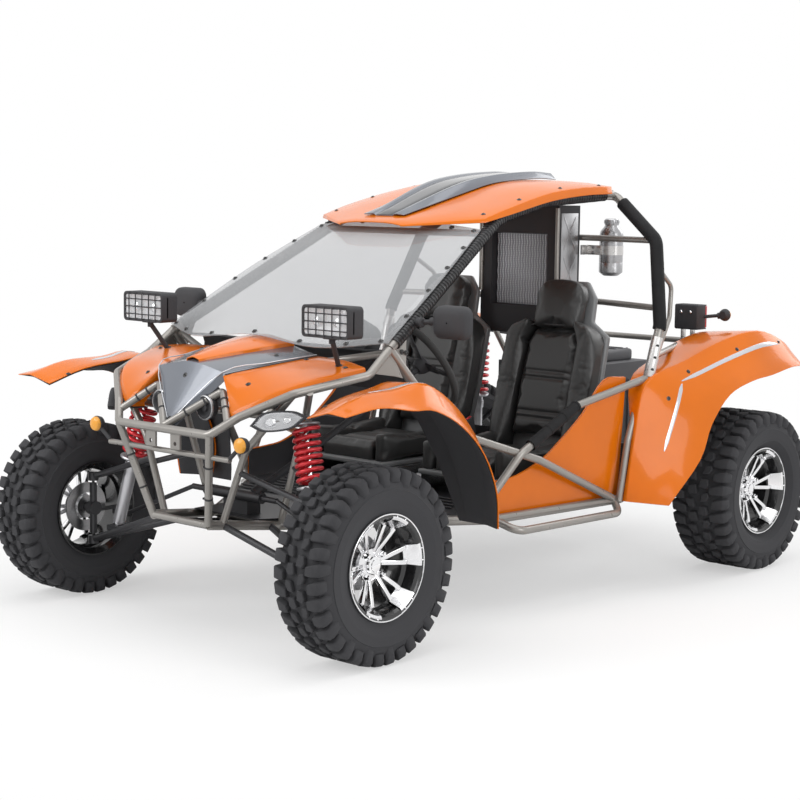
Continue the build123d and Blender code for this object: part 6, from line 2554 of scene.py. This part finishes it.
@dataclass
class Fittings:
    """Clamps, gussets, ties and pads on the tubes."""

    def sleeve(self) -> None:
        """Make the bright clamp sleeves on the hoop."""
        foot, shoulder = Vector(HOOP_FOOT), Vector(HOOP_SHOULDER)
        line = (shoulder - foot).normalized()
        shape = Shape()
        low, high = foot.lerp(shoulder, 0.70), foot.lerp(shoulder, 0.93)
        length = (high - low).length
        shape.lathe(((0.0, 0.0172), (0.0, 0.0205), (0.002, 0.0215), (length - 0.002, 0.0215),
                     (length, 0.0205), (length, 0.0172)), low, line, 36, True)
        shape.mirrored().piece("hoop_sleeves", CLAMP_METAL, None, 30)
        spots = []
        for share in (0.2, 0.5, 0.8):
            place = low.lerp(high, share)
            for sign in (-1, 1):
                way = Vector((sign * 0.8, -0.6, 0)).normalized()
                seat = Vector((sign * place.x, place.y, place.z)) + way * 0.0212
                spots.append((seat, way))
        bolts("sleeve_bolts", spots, 0.0042, SCREW_BLACK)

    def door_pads(self) -> None:
        """Make the black pads on the upper door bars."""
        points = [(0.598, -0.330, 0.400), (0.645, -0.210, 0.560), (0.668, 0.070, 0.707),
                  (0.671, 0.482, 0.775)]
        line = bent_line(points, 0.09)
        total = len(line) - 1
        part = line[round(total * 0.30):round(total * 0.58)]
        shape = Shape().pipe(part, 0.0195, 20)
        for share in (0.03, 0.35, 0.66, 0.96):
            index = min(int(share * (len(part) - 1)), len(part) - 2)
            along = (part[index + 1] - part[index]).normalized()
            shape.lathe(((-0.004, 0.0194), (-0.004, 0.0208), (0.004, 0.0208), (0.004, 0.0194)),
                        part[index], along, 24, True)
        shape.mirrored().piece("door_bar_pads", FOAM, "foam_wrap", 40)

    def ties(self) -> None:
        """Make black ties round the nose tubes and pads."""
        shape = Shape()
        runs = (
            ((0.268, -1.226, 0.716), NOSE_CORNER, (0.45, 0.7), 0.012),
            (NOSE_CORNER, (0.0, -1.262, 0.690), (0.3, 0.62), 0.012),
            ((0.226, -1.265, 0.681), (0.138, -1.191, 0.370), (0.35, 0.7), 0.013),
            (HOOP_FOOT, HOOP_SHOULDER, (0.42,), 0.017),
        )
        for start, end, shares, reach in runs:
            first, last = Vector(start), Vector(end)
            along = (last - first).normalized()
            for share in shares:
                place = first.lerp(last, share)
                shape.lathe(((-0.003, reach), (-0.003, reach + 0.0016), (0.003, reach + 0.0016),
                             (0.003, reach)), place, along, 24, True)
                out = along.orthogonal().normalized()
                shape.block((0.007, 0.006, 0.006), place + out * (reach + 0.003),
                            turned(along), 0.001)
        shape.mirrored().piece("tube_ties", BLACK_PLASTIC)

    def gussets(self) -> None:
        """Make the drilled gusset plates where the pillars meet the side rails."""
        shape = Shape()
        corner = Vector(PILLAR_FOOT)
        ahead = (Vector((0.545, -0.870, 0.868)) - corner).normalized()
        up = (Vector(PILLAR_KNEE) - corner).normalized()
        down = (Vector((0.575, -0.500, 0.640)) - corner).normalized()
        for first, second in ((up, down), (ahead, down)):
            out = first.cross(second).normalized()
            if out.x < 0:
                out = -out
            side = (second - first * second.dot(first)).normalized()
            turn = axes(first, side, first.cross(side))
            place = Matrix.Translation(corner + out * 0.004) @ turn
            outline = [(0.0, 0.0), (0.11, 0.010), (0.085, 0.035), (0.045, 0.075), (0.020, 0.105)]
            shape.plate(outline, place, 0.004, 0.0008)
        shape.mirrored().piece("pillar_gussets", TUBE, "frame_paint")
        spots = []
        for sign in (-1, 1):
            for share in (0.35, 0.62):
                place = corner + (up * 0.055 + down * 0.055) * (share + 0.35)
                spots.append(((sign * (place.x + 0.007), place.y, place.z), (sign, 0, 0)))
        bolts("gusset_bolts", spots, 0.006, SCREW_BLACK)

    def build(self) -> None:
        """Make all the fittings."""
        self.sleeve()
        self.door_pads()
        self.ties()
        self.gussets()


@dataclass
class FootWell:
    """What shows on the floor: ribbed mats and pedals."""

    floor: float = 0.361

    def build(self) -> None:
        """Make the mats and pedals."""
        mats, pedals = Shape(), Shape()
        for sign in (-1, 1):
            for number in range(9):
                mats.block((0.34, 0.012, 0.004), (sign * 0.27, -0.56 + number * 0.045, self.floor),
                           None, 0.0015)
        tilt = Matrix.Rotation(math.radians(-58), 4, "X")
        for x, wide in ((0.17, 0.05), (0.27, 0.075)):
            pedals.block((wide, 0.085, 0.008), (x, -0.80, 0.47), tilt, 0.003)
            for number in range(4):
                spot = Vector((x, -0.80, 0.47)) + tilt @ Vector((0, -0.03 + number * 0.02, 0.005))
                pedals.block((wide * 0.8, 0.006, 0.003), spot, tilt, 0.001)
            pedals.rod((x, -0.805, 0.466), (x, -0.84, 0.372), 0.007, sides=14)
        mats.piece("floor_ribs", BLACK_PLASTIC)
        pedals.piece("pedals", BLACK_SHEET)


# Finishes of the nodes that stay


NODE_FINISHES: dict[str, Finish] = {
    "main_frame": TUBE,
    "front_bumper": TUBE,
    "roll_cage": TUBE,
    "side_guards": TUBE,
    "bar_pads": FOAM,
    "floor_pan": BLACK_SHEET,
    "skid_plate": BLACK_SHEET,
    "radiator_shroud": BLACK_PLASTIC,
    "wheel_liners": BLACK_PLASTIC,
    "dashboard": BLACK_PLASTIC,
    "engine_block": ENGINE,
    "muffler": EXHAUST,
    "half_shafts": CHASSIS_BLACK,
    "rear_hubs": CHASSIS_BLACK,
    "front_arms": CHASSIS_BLACK,
    "rear_arms": CHASSIS_BLACK,
    "steering_rack": CHASSIS_BLACK,
    "tie_rods": CHASSIS_BLACK,
    "knuckle_left": CHASSIS_BLACK,
    "knuckle_right": CHASSIS_BLACK,
}


def smooth_group(name: str = "smooth_by_angle", limit: float = 32.0) -> bpy.types.NodeTree:
    """Make the modifier group that merges and shades a node's mesh smooth by angle.

    Args:
        name: The group's name.
        limit: The angle, in degrees, from which an edge stays sharp.

    Returns:
        The group.
    """
    found = bpy.data.node_groups.get(name)
    if found is not None:
        return found
    group = bpy.data.node_groups.new(name, "GeometryNodeTree")
    group.interface.new_socket("Geometry", in_out="INPUT", socket_type="NodeSocketGeometry")
    group.interface.new_socket("Geometry", in_out="OUTPUT", socket_type="NodeSocketGeometry")
    nodes, links = group.nodes, group.links
    start, end = nodes.new("NodeGroupInput"), nodes.new("NodeGroupOutput")
    merge = nodes.new("GeometryNodeMergeByDistance")
    merge.inputs["Distance"].default_value = 1e-5
    faces = nodes.new("GeometryNodeSetShadeSmooth")
    faces.domain = "FACE"
    edges = nodes.new("GeometryNodeSetShadeSmooth")
    edges.domain = "EDGE"
    edges.inputs["Shade Smooth"].default_value = False
    angle = nodes.new("GeometryNodeInputMeshEdgeAngle")
    test = nodes.new("FunctionNodeCompare")
    test.operation = "GREATER_THAN"
    test.inputs[1].default_value = math.radians(limit)
    links.new(start.outputs[0], merge.inputs["Geometry"])
    links.new(merge.outputs["Geometry"], faces.inputs["Geometry"])
    links.new(faces.outputs["Geometry"], edges.inputs["Geometry"])
    links.new(angle.outputs["Unsigned Angle"], test.inputs[0])
    links.new(test.outputs["Result"], edges.inputs["Selection"])
    links.new(edges.outputs["Geometry"], end.inputs[0])
    return group


def dress_nodes(nodes: dict[str, bpy.types.Object]) -> None:
    """Give every node that stays its finish and smooth shading.

    Args:
        nodes: The frame's nodes by name.
    """
    for name, finish in NODE_FINISHES.items():
        node = nodes[name]
        node.data.materials.clear()
        node.data.materials.append(finish.material())
        smooth = node.modifiers.new("smooth", "NODES")
        smooth.node_group = smooth_group()
    log.info("%d nodes keep their shape", len(NODE_FINISHES))


# Studio


@dataclass
class Studio:
    """The camera at the photograph's angle, the soft lights and the floor."""

    place: Point = (4.5193, -5.0545, 1.4723)
    azimuth: float = 42.523
    elevation: float = 6.725
    roll: float = 0.7025
    lens: float = 81.67
    ambient: float = 0.5
    white: float = 0.99
    half_floor: float = 9.0
    fade_from: float = 1.5
    fade_to: float = 2.9
    floor_glow: float = 0.5
    aim_height: float = 0.6

    def camera(self) -> None:
        """Make the camera."""
        across, up, roll = (math.radians(a) for a in (self.azimuth, self.elevation, self.roll))
        right = Vector((math.cos(across), math.sin(across), 0))
        back = Vector((math.sin(across) * math.cos(up), -math.cos(across) * math.cos(up),
                       math.sin(up)))
        over = back.cross(right)
        first = right * math.cos(roll) + over * math.sin(roll)
        second = over * math.cos(roll) - right * math.sin(roll)
        data = bpy.data.cameras.new("camera")
        data.lens = self.lens
        data.sensor_width = 36.0
        data.clip_end = 60.0
        made = bpy.data.objects.new("camera", data)
        turn = axes(first, second, back)
        made.matrix_world = Matrix.Translation(self.place) @ turn
        bpy.context.scene.collection.objects.link(made)
        bpy.context.scene.camera = made

    def light(self, name: str, place: Point, size: float, power: float) -> None:
        """Add one soft square light that looks at the vehicle.

        Args:
            name: The light's name.
            place: Its place.
            size: Its side.
            power: Its power in watts.
        """
        data = bpy.data.lights.new(name, "AREA")
        data.shape = "SQUARE"
        data.size = size
        data.energy = power
        made = bpy.data.objects.new(name, data)
        aim = Vector((0, 0, self.aim_height)) - Vector(place)
        turn = aim.to_track_quat("-Z", "Y").to_matrix().to_4x4()
        made.matrix_world = Matrix.Translation(place) @ turn
        bpy.context.scene.collection.objects.link(made)

    def world(self) -> None:
        """Make the world: white where it is seen, softer where it only lights."""
        world = bpy.data.worlds.new("studio")
        world.use_nodes = True
        nodes, links = world.node_tree.nodes, world.node_tree.links
        nodes.clear()
        path = nodes.new("ShaderNodeLightPath")
        seen, shown = nodes.new("ShaderNodeMath"), nodes.new("ShaderNodeMath")
        seen.operation = shown.operation = "MAXIMUM"
        strength = nodes.new("ShaderNodeMapRange")
        strength.inputs["To Min"].default_value = self.ambient
        strength.inputs["To Max"].default_value = 1.0
        shade = nodes.new("ShaderNodeBackground")
        output = nodes.new("ShaderNodeOutputWorld")
        shade.inputs["Color"].default_value = (1.0, 1.0, 1.0, 1.0)
        links.new(path.outputs["Is Camera Ray"], seen.inputs[0])
        links.new(path.outputs["Is Transmission Ray"], seen.inputs[1])
        links.new(seen.outputs[0], shown.inputs[0])
        links.new(path.outputs["Is Glossy Ray"], shown.inputs[1])
        links.new(shown.outputs[0], strength.inputs["Value"])
        links.new(strength.outputs["Result"], shade.inputs["Strength"])
        links.new(shade.outputs["Background"], output.inputs["Surface"])
        bpy.context.scene.world = world

    def floor(self) -> None:
        """Make the pale floor, which gives way to the background further out."""
        mesh = bpy.data.meshes.new("floor")
        grid = bmesh.new()
        bmesh.ops.create_grid(grid, x_segments=1, y_segments=1, size=self.half_floor)
        grid.to_mesh(mesh)
        grid.free()
        made = bpy.data.objects.new("floor", mesh)
        bpy.context.scene.collection.objects.link(made)
        material = bpy.data.materials.new("floor")
        material.use_nodes = True
        nodes, links = material.node_tree.nodes, material.node_tree.links
        nodes.clear()
        place = nodes.new("ShaderNodeTexCoord")
        reach = nodes.new("ShaderNodeVectorMath")
        reach.operation = "LENGTH"
        fade = nodes.new("ShaderNodeMapRange")
        fade.interpolation_type = "SMOOTHSTEP"
        fade.inputs["From Min"].default_value = self.fade_from
        fade.inputs["From Max"].default_value = self.fade_to
        matte = nodes.new("ShaderNodeBsdfDiffuse")
        matte.inputs["Color"].default_value = (self.white, self.white, self.white, 1.0)
        clear = nodes.new("ShaderNodeBsdfTransparent")
        pale, mix = nodes.new("ShaderNodeMixShader"), nodes.new("ShaderNodeMixShader")
        glow, path = nodes.new("ShaderNodeEmission"), nodes.new("ShaderNodeLightPath")
        share = nodes.new("ShaderNodeMath")
        share.operation = "MULTIPLY"
        share.inputs[1].default_value = self.floor_glow
        output = nodes.new("ShaderNodeOutputMaterial")
        links.new(path.outputs["Is Camera Ray"], share.inputs[0])
        links.new(share.outputs[0], pale.inputs["Fac"])
        links.new(matte.outputs["BSDF"], pale.inputs[1])
        links.new(glow.outputs["Emission"], pale.inputs[2])
        links.new(place.outputs["Object"], reach.inputs[0])
        links.new(reach.outputs["Value"], fade.inputs["Value"])
        links.new(fade.outputs["Result"], mix.inputs["Fac"])
        links.new(pale.outputs["Shader"], mix.inputs[1])
        links.new(clear.outputs["BSDF"], mix.inputs[2])
        links.new(mix.outputs["Shader"], output.inputs["Surface"])
        mesh.materials.append(material)

    def build(self) -> None:
        """Make the whole studio."""
        self.camera()
        self.light("top", (0.6, -0.6, 4.6), 4.5, 85.0)
        self.light("key", (-2.2, -5.2, 3.4), 3.0, 125.0)
        self.light("side", (5.6, -0.8, 2.4), 3.0, 80.0)
        self.light("rear", (1.0, 5.0, 3.4), 3.0, 70.0)
        self.world()
        self.floor()
        bpy.context.scene.view_settings.view_transform = "Standard"


# The whole vehicle


def wheels() -> list[Wheel]:
    """List the four wheels."""
    found = []
    for side in Side:
        found.append(Wheel(Axle.FRONT, side, 0.714, 0.190, 0.204))
        found.append(Wheel(Axle.REAR, side, 0.742, 0.200, 0.250))
    return found


def pieces() -> list[object]:
    """List the builders of the vehicle's pieces, in the order that they are built."""
    found: list[object] = list(wheels())
    for side in Side:
        found.append(Fender(Axle.FRONT, side, FRONT_STATIONS))
        found.append(Fender(Axle.REAR, side, REAR_STATIONS))
        found.append(SidePanel(side))
    found += [Hood(), Roof(), Screen(), Seats(), WorkLamps(), HeadLamps(), Signals(), TailLamps()]
    found += [Mirrors(), Horns(), PillarWrap(), Radiator(), Bottle(), SteeringWheel()]
    found += [
        CoilOver("front", (0.393, -1.005, 0.726), (0.5042, -1.0489, 0.2663)),
        CoilOver("rear", (0.530, 0.955, 0.852), (0.575, 0.9996, 0.262)),
    ]
    found += [Dashboard(), EngineDress(), Fittings(), FootWell()]
    return found


def main() -> None:
    """Load the frame, dress its nodes, build every piece and the studio."""
    logging.basicConfig(level=logging.INFO, format="%(name)s %(message)s")
    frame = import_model()
    dress_nodes(frame["nodes"])
    for piece in pieces():
        piece.build()
        log.info("built %s", type(piece).__name__)
    Studio().build()


if __name__ == "__main__":
    main()
